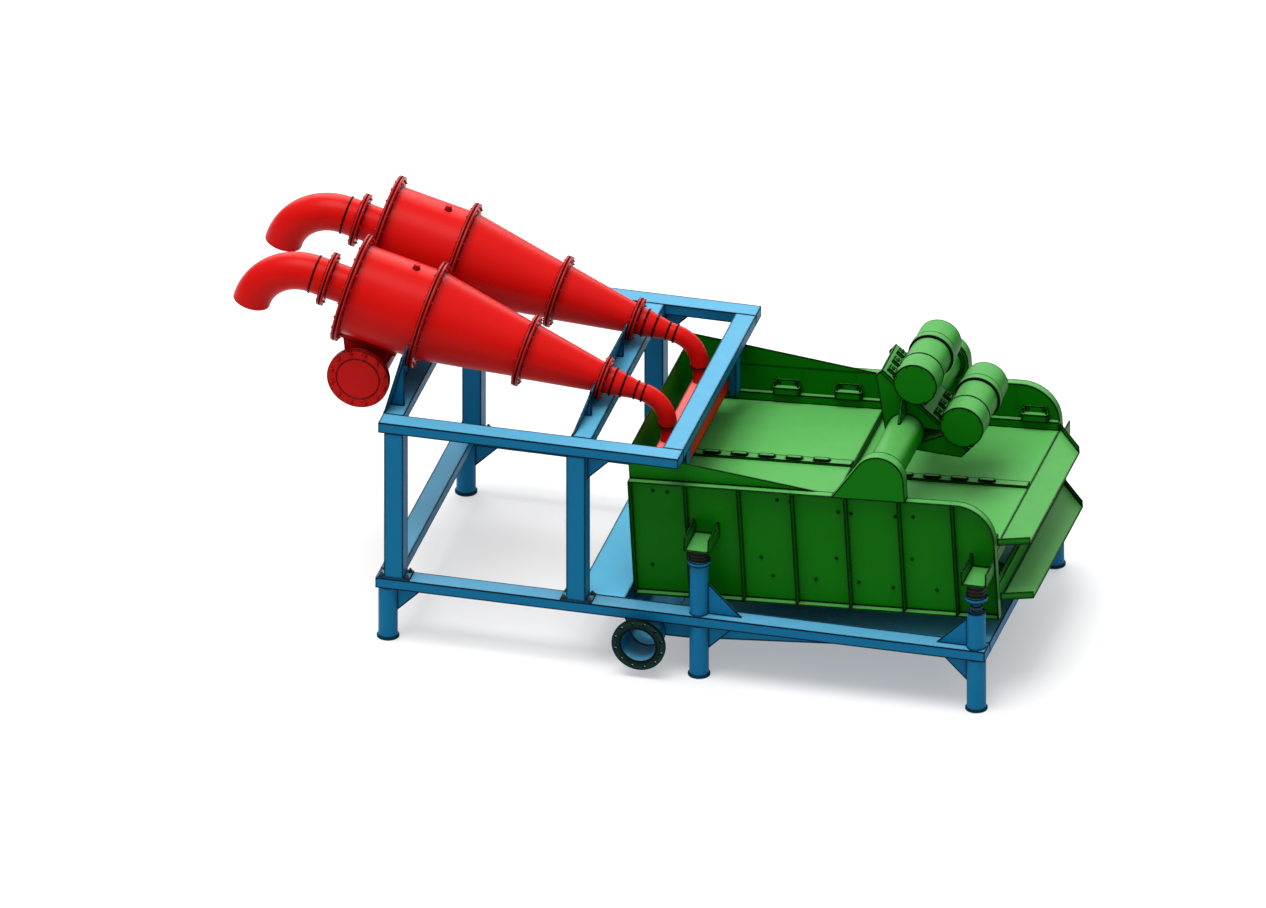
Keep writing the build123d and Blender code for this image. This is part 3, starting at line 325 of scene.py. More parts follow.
welds, foot_bolts = [], []
beams = ((BASE_ENDS[0], RAIL_LOW, RAIL_TOP), (BASE_ENDS[1] - BEAM, RAIL_LOW, RAIL_TOP),
         (UPPER_ENDS[0], UPPER_LOW, UPPER_TOP), (UPPER_MID, UPPER_LOW, UPPER_TOP),
         (UPPER_ENDS[1] - BEAM, UPPER_LOW, UPPER_TOP))
for side in (-1, 1):
    leg_y = MID_Y + side * LEG_Y
    inner_y = MID_Y + side * RAIL_IN
    for x, low, high in beams:
        welds.append(weld_line([(x, inner_y, low), (x, inner_y, high), (x + BEAM, inner_y, high),
                                (x + BEAM, inner_y, low), (x, inner_y, low)]))
    for x in POST_X:
        for level in (FOOT_PLATE_TOP, UPPER_LOW):
            welds.append(weld_line([(x + a * POST_HALF, leg_y + b * POST_HALF, level) for a, b in SQUARE],
                                   STOUT_BEAD))
        foot_bolts += [(x + a * FOOT_BOLT_X, leg_y + b * FOOT_BOLT_Y, FOOT_PLATE_TOP)
                       for a in (-1, 1) for b in (-1, 1)]
    # both flanks of the gusset at the middle post, and of the one at each leg
    for hand in (-1, 1):
        edge_y = leg_y + hand * GUSSET_HALF
        corner_x = POST_X[1] + POST_HALF
        welds.append(weld_line([(corner_x, edge_y, UPPER_LOW - POST_GUSSET), (corner_x, edge_y, UPPER_LOW),
                                (corner_x + POST_GUSSET, edge_y, UPPER_LOW)]))
        for x, turn in zip(LEG_X, (1, 1, -1)):
            corner_x = x + turn * LEG_RADIUS
            welds.append(weld_line([(corner_x, edge_y, RAIL_LOW - LEG_GUSSET), (corner_x, edge_y, RAIL_LOW),
                                    (corner_x + turn * LEG_GUSSET, edge_y, RAIL_LOW)]))
    for x in LEG_X:
        welds.append(weld_ring((x, leg_y, LEG_PLATE_TOP), UPRIGHT, LEG_RADIUS))
        welds.append(weld_ring((x, leg_y, RAIL_LOW), UPRIGHT, LEG_RADIUS))
piece("frame_welds", joined(*welds), blue_weld)
piece("post_plate_bolts", hex_bolts(foot_bolts, UPRIGHT, FOOT_BOLT), zinc)

# saddle plates with their gussets, leaning with the cyclones: foot, gusset lines and height of each
LEAN = math.radians(14.6)
SADDLES = ((UPPER_ENDS[0], (-0.897, 0.0, 0.897), 0.423), (UPPER_MID, (-0.706, -0.206, 0.206, 0.706), 0.204))
SADDLE_THICK = 0.014
# share of the plate's height that its gussets reach
GUSSET_SHARE = 0.94
# feed box hangers under the last cross beam
HANGER_X = (2.055, 2.115)
HANGER_Y = (0.650, 0.775)
cradle_welds = []
for foot_x, gussets, rise in SADDLES:
    for x in (foot_x, foot_x + SADDLE_THICK / math.cos(LEAN)):
        cradle_welds.append(weld_line([(x, MID_Y - RAIL_IN, UPPER_TOP), (x, MID_Y + RAIL_IN, UPPER_TOP)]))
    # a gusset's weld goes along the beam to the plate's foot, then up the leaning plate
    foot_face = foot_x + SADDLE_THICK
    top_face = foot_x + rise * math.sin(LEAN) + SADDLE_THICK
    gusset_top = UPPER_TOP + rise * math.cos(LEAN) * GUSSET_SHARE
    for y in gussets:
        for hand in (-1, 1):
            edge_y = MID_Y + y + hand * GUSSET_HALF
            cradle_welds.append(weld_line([(top_face, edge_y, UPPER_TOP), (foot_face, edge_y, UPPER_TOP),
                                           (top_face, edge_y, gusset_top)]))
for side in (-1, 1):
    inner_y, outer_y = (MID_Y + side * y for y in HANGER_Y)
    cradle_welds.append(weld_line([(HANGER_X[0], inner_y, UPPER_LOW), (HANGER_X[1], inner_y, UPPER_LOW),
                                   (HANGER_X[1], outer_y, UPPER_LOW), (HANGER_X[0], outer_y, UPPER_LOW),
                                   (HANGER_X[0], inner_y, UPPER_LOW)]))
piece("cradle_welds", joined(*cradle_welds), blue_weld)


# Spring posts
# Tubes welded to the base rails with a gusset each; the discharge pair is open-topped and carries a jack
# screw with lock nuts, so the box can be levelled.

SPRING_X = (2.297, 4.345)
TUBE_RADIUS = 0.067
TUBE_GUSSETS = (0.250, 0.228)
CUP_BASES = (0.903, 0.886)
JACK_POST_TOP = 0.791
JACK_CORE, THREAD_DEPTH, THREAD_LEAD = 0.031, 0.003, 0.008
# how far the screw goes into the post and into the cup
JACK_SUNK = 0.001
LOCK_NUTS = ((0.8115, 0.8365), (0.858, 0.883))
NUT_RADIUS, NUT_CHAMFER_RADIUS, NUT_CHAMFER = 0.049, 0.043, 0.003
# (along, radius) of the seal ring in the open top of a discharge post
SEAL_PROFILE = ((0.0, 0.057), (0.0025, 0.056), (0.0025, 0.048), (0.0, 0.047))


def screw_thread(place, low, high, radius, depth, lead, steps=28):
    """A screw: radius = core + depth * triangle(z / lead - angle / 2 pi), on a grid of height and angle."""
    z = np.linspace(low, high, int((high - low) / lead * 8) + 1)[:, None]
    angle = (np.arange(steps) * 2 * np.pi / steps)[None]
    wave = np.abs(((z / lead - angle / (2 * np.pi)) % 1.0) * 2 - 1)
    size = radius + depth * wave
    grid = np.stack([place[0] + size * np.cos(angle), place[1] + size * np.sin(angle), z + 0 * angle],
                    axis=-1)
    return skinned(grid, False)


post_welds, jack_parts, seal_rings = [], [], []
for side in (-1, 1):
    leg_y = MID_Y + side * LEG_Y
    for x, turn, rise in zip(SPRING_X, (1, -1), TUBE_GUSSETS):
        post_welds.append(weld_ring((x, leg_y, RAIL_TOP), UPRIGHT, TUBE_RADIUS, STOUT_BEAD))
        for hand in (-1, 1):
            edge_y = leg_y + hand * GUSSET_HALF
            foot = x + turn * TUBE_RADIUS
            post_welds.append(weld_line([(foot, edge_y, RAIL_TOP + rise), (foot, edge_y, RAIL_TOP),
                                         (foot + turn * rise, edge_y, RAIL_TOP)]))
    post_welds.append(weld_ring((SPRING_X[0], leg_y, CUP_BASES[0]), UPRIGHT, TUBE_RADIUS, STOUT_BEAD))
    place = (SPRING_X[1], leg_y, 0.0)
    jack_parts.append(screw_thread(place, JACK_POST_TOP - JACK_SUNK, CUP_BASES[1] + JACK_SUNK, JACK_CORE,
                                   THREAD_DEPTH, THREAD_LEAD))
    for low, high in LOCK_NUTS:
        jack_parts.append(turned([(low, NUT_CHAMFER_RADIUS), (low + NUT_CHAMFER, NUT_RADIUS),
                                  (high - NUT_CHAMFER, NUT_RADIUS), (high, NUT_CHAMFER_RADIUS)],
                                 place, UPRIGHT, 6))
    seal_rings.append(turned(SEAL_PROFILE, (SPRING_X[1], leg_y, JACK_POST_TOP), UPRIGHT, 48, ring=True))
piece("spring_post_welds", joined(*post_welds), blue_weld)
# black seal, its upward faces painted a little paler as painted top light
seal_black = painted("seal_black", (0.0015, 0.0020, 0.0025), (0.0030, 0.0040, 0.0050),
                     (0.0008, 0.0008, 0.0008), width=0.002, gloss=0.6)
piece("jack_seal_rings", joined(*seal_rings), seal_black)
# oiled screw steel, its upward faces painted paler as painted top light
screw_steel = painted("oiled_screw_steel", (0.006, 0.030, 0.055), (0.020, 0.060, 0.090),
                      (0.001, 0.002, 0.003), width=0.003, metal=0.6, specular=0.4)
piece("jack_screws", joined(*jack_parts), screw_steel)


# Underflow tank
# Folded and welded sheet between the rails, painted with the frame; its sloping floor shows through
# the lower grid of the screen box.

TANK_SIDE = RAIL_IN - 0.0085
TANK_TOP = 0.495
GUTTER_X, GUTTER_LOW = 1.733, 0.345
# (x, z) at the foot and the head of the sloping floor, and the ends of the tank's top flange
SLOPE_FOOT, SLOPE_HEAD = (2.196, 0.2485), (4.266, 0.4330)
FLANGE_RUN = (1.390, 4.270)
FLANGE_BEAD = 0.0035
# the tank's upward faces are painted a pale blue: painted top light
tank_paint = painted("tank_paint", (0.0060, 0.165, 0.325), (0.095, 0.440, 0.660), BLUE_EDGE,
                     top_range=(0.30, 0.70), gloss=0.42)
finish_nodes(tank_paint, "tank_shell")
seams = []
for side in (-1, 1):
    y = MID_Y + side * TANK_SIDE
    seams.append(weld_line([(GUTTER_X, y, GUTTER_LOW), (GUTTER_X, y, TANK_TOP)]))
    seams.append(weld_line([(SLOPE_FOOT[0], y, SLOPE_FOOT[1]), (SLOPE_HEAD[0], y, SLOPE_HEAD[1]),
                            (SLOPE_HEAD[0], y, TANK_TOP)]))
    seams.append(weld_line([(x, MID_Y + side * RAIL_IN, RAIL_TOP) for x in FLANGE_RUN], FLANGE_BEAD))
piece("tank_seams", joined(*seams), blue_weld)


# Drain flange
# A welding-neck flange in dark primer, turned in rings for its gasket. Its pipe and bore are blue, as
# the frame is.

DRAIN_X, DRAIN_Z = 1.892, 0.267
DRAIN_FACE = -0.175
DRAIN_PIPE_RADIUS = 0.1365
# the neck weld behind the flange, and the weld where the pipe meets the tank
DRAIN_WELD_Y = (DRAIN_FACE + 0.028, 0.075)
PRIMER = (0.0040, 0.0230, 0.0200)
GROOVE_BLACK = (0.0010, 0.0030, 0.0030)
# how far behind the face the primer ends, and the way from the pipe's axis at which each colour starts
PRIMER_DEPTH = 0.0285
DRAIN_BANDS = ((0.1272, GROOVE_BLACK), (0.148, PRIMER), (0.156, GROOVE_BLACK), (0.163, PRIMER),
               (0.193, GROOVE_BLACK))


def flange_masked(name, centre, bands, behind):
    """Blue paint, with primer bands by distance from the pipe's axis on the flange in front of a depth."""
    material = painted(name, BLUE, BLUE_LIT_TOP, BLUE_EDGE)
    tree, link = material.node_tree.nodes, material.node_tree.links.new
    place = tree.new("ShaderNodeTexCoord")
    split = tree.new("ShaderNodeSeparateXYZ")
    link(place.outputs["Object"], split.inputs[0])
    offset = tree.new("ShaderNodeVectorMath")
    offset.operation = "SUBTRACT"
    link(place.outputs["Object"], offset.inputs[0])
    offset.inputs[1].default_value = centre
    flat = tree.new("ShaderNodeVectorMath")
    flat.operation = "MULTIPLY"
    link(offset.outputs[0], flat.inputs[0])
    flat.inputs[1].default_value = (1.0, 0.0, 1.0)
    reach = tree.new("ShaderNodeVectorMath")
    reach.operation = "LENGTH"
    link(flat.outputs[0], reach.inputs[0])
    coat = next(node for node in tree if node.bl_idname == "ShaderNodeGroup")
    colour = coat.outputs["Colour"]
    front = tree.new("ShaderNodeMath")
    front.operation = "LESS_THAN"
    link(split.outputs["Y"], front.inputs[0])
    front.inputs[1].default_value = behind
    for start, paint in bands:
        outside = tree.new("ShaderNodeMath")
        outside.operation = "GREATER_THAN"
        link(reach.outputs["Value"], outside.inputs[0])
        outside.inputs[1].default_value = start
        both = tree.new("ShaderNodeMath")
        both.operation = "MULTIPLY"
        link(outside.outputs[0], both.inputs[0])
        link(front.outputs[0], both.inputs[1])
        mix = tree.new("ShaderNodeMix")
        mix.data_type = "RGBA"
        link(both.outputs[0], mix.inputs["Factor"])
        link(colour, mix.inputs["A"])
        mix.inputs["B"].default_value = (*paint, 1.0)
        colour = mix.outputs["Result"]
    link(colour, tree["Principled BSDF"].inputs["Base Color"])
    return material


drain_paint = flange_masked("drain_flange_primer", (DRAIN_X, 0.0, DRAIN_Z), DRAIN_BANDS,
                            DRAIN_FACE + PRIMER_DEPTH)
finish_nodes(drain_paint, "drain_pipe")
piece("drain_welds", joined(*[weld_ring((DRAIN_X, y, DRAIN_Z), (0, 1, 0), DRAIN_PIPE_RADIUS)
                              for y in DRAIN_WELD_Y]), blue_weld)


# Cyclones and feed pipework
# Rolled and cast shells bolted flange to flange on black gaskets, in a glossy red enamel. Both lean the
# same way, from the overflow elbow on the head down to the bend over the feed box.

# red enamel, a pale band painted along its uppermost faces as a highlight, and its edge colour
RED = (0.470, 0.0040, 0.0030)
RED_HIGHLIGHT = (0.500, 0.030, 0.026)
RED_EDGE = (0.004, 0.0004, 0.0004)
CYCLONE_Y = 0.456
OVERFLOW_RADIUS, BARREL_RADIUS, UNDERFLOW_RADIUS = 0.1365, 0.332, 0.066
# (x, z) where a cyclone's axis meets its head flange, and the directions along and square to the axis
HEAD = np.array((-0.433, 2.424))
ALONG = np.array((math.cos(LEAN), 0.0, -math.sin(LEAN)))
ACROSS = np.array((math.sin(LEAN), 0.0, math.cos(LEAN)))
SIDEWAYS = np.array((0.0, 1.0, 0.0))
# each flange pair: station, rim radius, bolt circle, bolts, bolt size, shell radius before it and after it
FLANGES = ((-0.186, 0.1975, 0.170, 12, 0.009, OVERFLOW_RADIUS, OVERFLOW_RADIUS),
           (0.0, 0.400, 0.370, 20, 0.010, OVERFLOW_RADIUS, BARREL_RADIUS),
           (0.577, 0.400, 0.370, 20, 0.010, BARREL_RADIUS, BARREL_RADIUS),
           (1.329, 0.268, 0.241, 16, 0.009, 0.2112, 0.2034),
           (1.918, 0.160, 0.138, 8, 0.008, 0.1148, 0.100))
FLANGE_THICK = 0.022
GASKET_HALF, GASKET_PROUD, GASKET_DEPTH = 0.0062, 0.0012, 0.030
NECK_BEAD, PIPE_BEAD, FINE_BEAD = 0.0075, 0.0085, 0.004
BEND_STATION, BEND_RADIUS = 2.222, 0.240
NOZZLE_FOOT, NOZZLE_RADIUS = 1.505, 0.050
# station and radius of the other rings: overflow elbow, reducer's hub, cone and small end, and the bend
PIPE_RINGS = ((-0.289, OVERFLOW_RADIUS), (1.993, 0.100), (2.070, 0.085), (2.167, UNDERFLOW_RADIUS),
              (BEND_STATION, UNDERFLOW_RADIUS))
# boss on top of the barrel: its station, its foot and top over the axis, and its cap's (along, radius)
BOSS_STATION, BOSS_FOOT, BOSS_TOP, BOSS_RADIUS = 0.400, 0.3315, 0.352, 0.025
BOSS_CAP = ((0.0, 0.020), (0.012, 0.020), (0.015, 0.017))


def on_axis(side, station, offset=0.0):
    """Point on a cyclone axis at a station, or offset upwards square to it."""
    start = np.array((HEAD[0], MID_Y + side * CYCLONE_Y, HEAD[1]))
    return start + ALONG * station + ACROSS * offset


def bolt_circle(centre, radius, count, first, second, start=0.5):
    """Points on a circle in the plane of two unit vectors: centre + r (first cos a + second sin a)."""
    angle = (np.arange(count) + start) * 2 * np.pi / count
    return centre + radius * (np.cos(angle)[:, None] * first + np.sin(angle)[:, None] * second)


# the enamel's top colour is a painted highlight on faces that look almost straight up
red_paint = painted("red_enamel", RED, RED_HIGHLIGHT, RED_EDGE, top_range=(0.93, 0.99), gloss=0.24, specular=0.06,
                    width=0.010)
# bolts and weld beads: their tops painted paler as painted top light
red_bolts = painted("red_bolt_enamel", (0.380, 0.0035, 0.0025), (0.450, 0.020, 0.018), RED_EDGE,
                    width=0.002, strength=0.3, specular=0.06)
red_weld = painted("red_weld_enamel", (0.030, 0.0010, 0.0008), (0.060, 0.004, 0.003), RED_EDGE,
                   top_range=(0.9, 1.0), strength=0.3)
# black gasket, its upward faces painted a little paler as painted top light
gasket = painted("black_gasket", (0.0012, 0.0012, 0.0012), (0.0030, 0.0030, 0.0030),
                 (0.0008, 0.0008, 0.0008), gloss=0.6, specular=0.1)
red_nodes = [name for name in nodes if name.startswith(("cyclone", "overflow", "underflow", "feed_header"))]
finish_nodes(red_paint, *red_nodes)

gaskets, upstream, downstream, pipe_welds = [], [], [], []
for side in (-1, 1):
    for station, rim, circle, count, size, before, after in FLANGES:
        centre = on_axis(side, station)
        outer, inner = rim + GASKET_PROUD, rim - GASKET_DEPTH
        steps = 96 if rim > 0.3 else 64
        gaskets.append(turned([(-GASKET_HALF, outer), (GASKET_HALF, outer), (GASKET_HALF, inner),
                               (-GASKET_HALF, inner)], centre, ALONG, steps, ring=True))
        places = bolt_circle(centre, circle, count, SIDEWAYS, ACROSS)
        upstream.append(hex_bolts(places - ALONG * FLANGE_THICK, -ALONG, size, stub=0.3))
        downstream.append(hex_bolts(places + ALONG * FLANGE_THICK, ALONG, size, stub=0.9))
        pipe_welds.append(weld_ring(centre - ALONG * FLANGE_THICK, ALONG, before, NECK_BEAD))
        pipe_welds.append(weld_ring(centre + ALONG * FLANGE_THICK, ALONG, after, NECK_BEAD))
    for station, radius in PIPE_RINGS:
        pipe_welds.append(weld_ring(on_axis(side, station), ALONG, radius, PIPE_BEAD))
    nozzle = on_axis(side, BEND_STATION, -BEND_RADIUS) + (BEND_RADIUS, 0.0, 0.0)
    pipe_welds.append(weld_ring(nozzle, UPRIGHT, UNDERFLOW_RADIUS, PIPE_BEAD))
    pipe_welds.append(weld_ring((nozzle[0], nozzle[1], NOZZLE_FOOT), UPRIGHT, NOZZLE_RADIUS, FINE_BEAD))
    downstream.append(turned(BOSS_CAP, on_axis(side, BOSS_STATION, BOSS_TOP), ACROSS, 6))
    pipe_welds.append(weld_ring(on_axis(side, BOSS_STATION, BOSS_FOOT), ACROSS, BOSS_RADIUS, FINE_BEAD))
piece("flange_gaskets", joined(*gaskets), gasket)
piece("flange_bolts_upstream", joined(*upstream), red_bolts)
piece("flange_bolts_downstream", joined(*downstream), red_bolts)

# feed header: a flange pair blanks its near end, and ducts are bolted up under the barrels
HEADER_X, HEADER_Z = -0.332, 1.822
HEADER_NEAR = 0.415
# ways along the header from its near face: the joint, the back of the pair, and the far flange's weld
HEADER_JOINT, HEADER_BACK, HEADER_FAR_WELD = 0.026, 0.052, 1.374
HEADER_RADIUS = 0.162
HEADER_BOLT_CIRCLE, HEADER_BOLTS, HEADER_BOLT = 0.200, 12, 0.019
# (along, radius) of the ring raised on the blank, and of the gasket
RAISED_RING = ((0.0, 0.164), (0.004, 0.161), (0.004, 0.156), (0.0, 0.153))
HEADER_GASKET = ((-0.003, 0.2288), (0.003, 0.2288), (0.003, 0.200), (-0.003, 0.200))
# duct flanges: level under the axis, bolt stations and line, and the duct's own flank and ends
DUCT_LEVEL = -0.356
DUCT_BOLT_STATIONS = 0.235 + np.array((-0.170, -0.085, 0.0, 0.085, 0.170))
DUCT_BOLT_LINE, DUCT_BOLT = 0.0975, 0.011
DUCT_FLANK, DUCT_ENDS = 0.085, (0.030, 0.440)

blank = np.array((HEADER_X, HEADER_NEAR, HEADER_Z))
right, upward = np.array((1.0, 0.0, 0.0)), np.array((0.0, 0.0, 1.0))
header_circle = bolt_circle(blank, HEADER_BOLT_CIRCLE, HEADER_BOLTS, right, upward)
header_bolts = [hex_bolts(header_circle, (0, -1, 0), HEADER_BOLT, stub=0.5),
                hex_bolts(header_circle + (0, HEADER_BACK, 0), (0, 1, 0), HEADER_BOLT, stub=0.9)]
for side in (-1, 1):
    for hand in (-1, 1):
        places = [on_axis(side, station, DUCT_LEVEL) + SIDEWAYS * hand * DUCT_BOLT_LINE
                  for station in DUCT_BOLT_STATIONS]
        header_bolts.append(hex_bolts(places, -ACROSS, DUCT_BOLT))
        flank = [on_axis(side, station, DUCT_LEVEL) + SIDEWAYS * hand * DUCT_FLANK for station in DUCT_ENDS]
        pipe_welds.append(weld_line(flank, FINE_BEAD))
for along in (HEADER_BACK, HEADER_FAR_WELD):
    pipe_welds.append(weld_ring(blank + (0, along, 0), (0, 1, 0), HEADER_RADIUS))
piece("header_bolts", joined(*header_bolts), red_bolts)
piece("header_raised_ring", turned(RAISED_RING, blank, (0, -1, 0), 72, ring=True), red_paint)
piece("header_gasket", turned(HEADER_GASKET, blank + (0, HEADER_JOINT, 0), (0, 1, 0), 72, ring=True),
      gasket)
piece("pipe_welds", joined(*pipe_welds), red_weld)


# Feed box
# Open-bottomed hood of welded plates that spreads the underflow over the deck, hung from the cyclone
# frame. Its lid and other upward faces are painted pale pink: painted top light.

# painted top light: the lid is painted pale pink where it looks up
lid_red = painted("feed_box_enamel", (0.600, 0.0040, 0.0030), (0.760, 0.120, 0.115), RED_EDGE,
                  top_range=(0.5, 0.9), gloss=0.3)
finish_nodes(lid_red, "feed_box")


# Screen box
# Side plates, cross members and lips in a deep green paint, bolted and stitch-welded, with paler moulded
# deck panels.

# green paint, its tops painted paler as painted light from above, and its edge colour
GREEN = (0.0024, 0.134, 0.0012)
GREEN_LIT_TOP = (0.060, 0.250, 0.055)
GREEN_EDGE = (0.0006, 0.0030, 0.0006)
# the box's lower feed corner, and its own directions: u along the deck and v square to it
BOX_X, BOX_Z = 1.780, 0.506
TILT = math.radians(3.2)
U = np.array((math.cos(TILT), 0.0, math.sin(TILT)))
V = np.array((-math.sin(TILT), 0.0, math.cos(TILT)))
PLATE_HALF = 0.915
# (u, v) of the bolts in each side plate, in millimetres here, and their size
PLATE_BOLTS = np.array(((171, 818), (275, 814), (1088, 814), (1184, 810), (1536, 753), (1632, 748),
                        (1958, 750), (2091, 756), (134, 221), (944, 342), (1024, 199), (1504, 378),
                        (1342, 196), (1660, 197), (1911, 172), (2065, 415), (2236, 178))) / 1000.0
PLATE_BOLT = 0.013
# ribs stitch-welded on both flanks: beads of 75 mm every 150 mm
RIBS = 0.412 + np.arange(6) * 0.395
RIB_HALF = 0.005
STITCHES = np.arange(0.030, 0.860, 0.150)
STITCH = 0.075
# brackets over the springs: cheeks either side of a shelf
CHEEK_X, CHEEK_LOW, CHEEK_TOP = 0.095, 1.030, 1.135
SHELF_X, SHELF_TOP, SHELF_LOW = 0.083, 1.040, 1.028
WELD_PROUD = 0.001

green_paint = painted("green_paint", GREEN, GREEN_LIT_TOP, GREEN_EDGE)
# the weld and bolt paints also have paler tops: painted top light
green_weld = painted("green_weld_paint", (0.0010, 0.020, 0.0010), (0.004, 0.050, 0.004), GREEN_EDGE,
                     strength=0.3)
green_bolts = painted("green_bolt_paint", (0.0030, 0.070, 0.0022), (0.020, 0.120, 0.018), GREEN_EDGE,
                      width=0.002, strength=0.6)
finish_nodes(green_paint, "side_plate_near", "side_plate_far", "back_plate", "hold_down_bars",
             "deck_cross_members", "lower_frame", "discharge_lips", "cross_tube", "motor_bench",
             "motor_upper", "motor_lower")


def in_box(u, v, y):
    """Points of the screen box: u along the deck, v square to it, y from the machine's middle."""
    u, v, y = np.broadcast_arrays(u, v, y)
    return np.array((BOX_X, MID_Y, BOX_Z)) + u[..., None] * U + v[..., None] * V + y[..., None] * SIDEWAYS


plate_bolts, box_welds = [], []
for side in (-1, 1):
    outside = in_box(PLATE_BOLTS[:, 0], PLATE_BOLTS[:, 1], side * PLATE_HALF)
    plate_bolts.append(hex_bolts(outside, SIDEWAYS * side, PLATE_BOLT))
    for rib in RIBS:
        for hand in (-1, 1):
            for low in STITCHES:
                stitch = in_box(rib + hand * RIB_HALF, np.array((low, low + STITCH)),
                                side * (PLATE_HALF + WELD_PROUD))
                box_welds.append(weld_line(stitch, STOUT_BEAD))
    y = MID_Y + side * (PLATE_HALF + WELD_PROUD)
    for x in SPRING_X:
        for hand in (-1, 1):
            cheek_x = x + hand * CHEEK_X
            box_welds.append(weld_line([(cheek_x, y, CHEEK_LOW), (cheek_x, y, CHEEK_TOP)]))
        box_welds.append(weld_line([(x - SHELF_X, y, SHELF_TOP), (x + SHELF_X, y, SHELF_TOP)]))
        box_welds.append(weld_line([(x - CHEEK_X, y, SHELF_LOW), (x + CHEEK_X, y, SHELF_LOW)]))
piece("side_plate_bolts", joined(*plate_bolts), green_weld)

# clamps that hold the deck down along both side plates, each bolted on through its back plate: the
# deck's levels before and after its step, and the clamps' places along it and over it
FEED_LEVEL, DISCHARGE_LEVEL, DECK_STEP_U = 0.645, 0.575, 1.4
CLAMPS, CLAMP_START, CLAMP_PITCH = 6, 0.238, 0.458
CLAMP_RISE = 0.066
CLAMP_FACE = 0.893
CLAMP_BOLT_U, CLAMP_BOLT_RISE, CLAMP_BOLT = 0.058, 0.081, 0.012
# half the length of a clamp's angle bar, its straight part, and the share of reach left at its ends
ANGLE_HALF, ANGLE_STRAIGHT, ANGLE_END_SHARE = 0.102, 0.090, 0.78
ANGLE_OUTLINE = np.array(((0.0, 0.058), (0.058, 0.058), (0.058, 0.0), (0.048, 0.0), (0.048, 0.046),
                          (0.0, 0.046)))


def clamp_angle(u, level, hand):
    """Angle bar over a clamp: its outline of (reach, rise) carried along u, drawn back at both ends."""
    run = np.array((-ANGLE_HALF, -ANGLE_STRAIGHT, ANGLE_STRAIGHT, ANGLE_HALF))[:, None]
    reach, rise = ANGLE_OUTLINE[::hand].T
    drawn = reach * np.array((ANGLE_END_SHARE, 1.0, 1.0, ANGLE_END_SHARE))[:, None]
    return skinned(in_box(u + run, level + rise, hand * (CLAMP_FACE - drawn)), False)


clamp_bolts, clamp_angles = [], []
for hand in (-1, 1):
    for number in range(CLAMPS):
        u = CLAMP_START + number * CLAMP_PITCH
        level = (FEED_LEVEL if u < DECK_STEP_U else DISCHARGE_LEVEL) + CLAMP_RISE
        places = in_box(u + np.array((-CLAMP_BOLT_U, CLAMP_BOLT_U)), level + CLAMP_BOLT_RISE,
                        hand * CLAMP_FACE)
        clamp_bolts.append(hex_bolts(places, -SIDEWAYS * hand, CLAMP_BOLT))
        clamp_angles.append(clamp_angle(u, level, hand))
piece("clamp_bolts", joined(*clamp_bolts), green_weld)
piece("clamp_angles", joined(*clamp_angles), green_paint, smooth=20.0)

# cross tube between the ears, the sloping bench round it, and the motors' lugs bolted through the bench
EAR_U, EAR_V = 1.868, 1.063
MOTOR_U, MOTOR_V = 1.998, 1.514
BENCH = math.radians(44.2)
DOWN_BENCH = math.cos(BENCH) * U - math.sin(BENCH) * V
OFF_BENCH = math.sin(BENCH) * U + math.cos(BENCH) * V
MOTOR_AXIS = in_box(MOTOR_U, MOTOR_V, 0.0)
MOTOR_PITCH = 0.456
BENCH_FACE = MOTOR_AXIS - OFF_BENCH * 0.170
BENCH_THICK = 0.025
# how far from the middle the flanks of a cheek stand, and where the bench starts and ends down its slope
CHEEK_FLANKS = (0.198, 0.178)
BENCH_RUN = (-0.215, 0.630)
# lugs: thickness, bolt line from the motor's axis, and the bolts along it
LUG_THICK = 0.026
LUG_BOLT_LINE, LUG_BOLT_Y, LUG_BOLT = 0.162, (-0.130, 0.0, 0.130), 0.018
# way from the middle, radius and girth of each weld ring: collar, tube beside it, both cheek flanks
TUBE_RINGS = ((0.880, 0.158, 0.005), (0.860, 0.134, 0.005), (0.198, 0.1345, 0.006), (0.178, 0.1345, 0.006))

lug_bolts = []
for hand in (-1, 1):
    for y, radius, girth in TUBE_RINGS:
        box_welds.append(weld_ring(in_box(EAR_U, EAR_V, hand * y), SIDEWAYS, radius, girth))
    for y in CHEEK_FLANKS:
        start, end = (BENCH_FACE + DOWN_BENCH * way - OFF_BENCH * BENCH_THICK for way in BENCH_RUN)
        box_welds.append(weld_line([start + SIDEWAYS * hand * y, end + SIDEWAYS * hand * y], STOUT_BEAD))
    for number in (0, 1):
        centre = BENCH_FACE + DOWN_BENCH * number * MOTOR_PITCH + OFF_BENCH * LUG_THICK
        places = [centre + DOWN_BENCH * hand * LUG_BOLT_LINE + SIDEWAYS * y for y in LUG_BOLT_Y]
        lug_bolts.append(hex_bolts(places, OFF_BENCH, LUG_BOLT, stub=0.3))
        under = [place - OFF_BENCH * (LUG_THICK + BENCH_THICK) for place in places]
        lug_bolts.append(hex_bolts(under, -OFF_BENCH, LUG_BOLT, stub=0.6))
piece("motor_bolts", joined(*lug_bolts), green_bolts)
piece("screen_box_welds", joined(*box_welds), green_weld)


# Motor covers
# The unbalance weights turn under pressed end covers, each held by a ring of small screws into the frame,
# with a black seal in every joint of the housing.

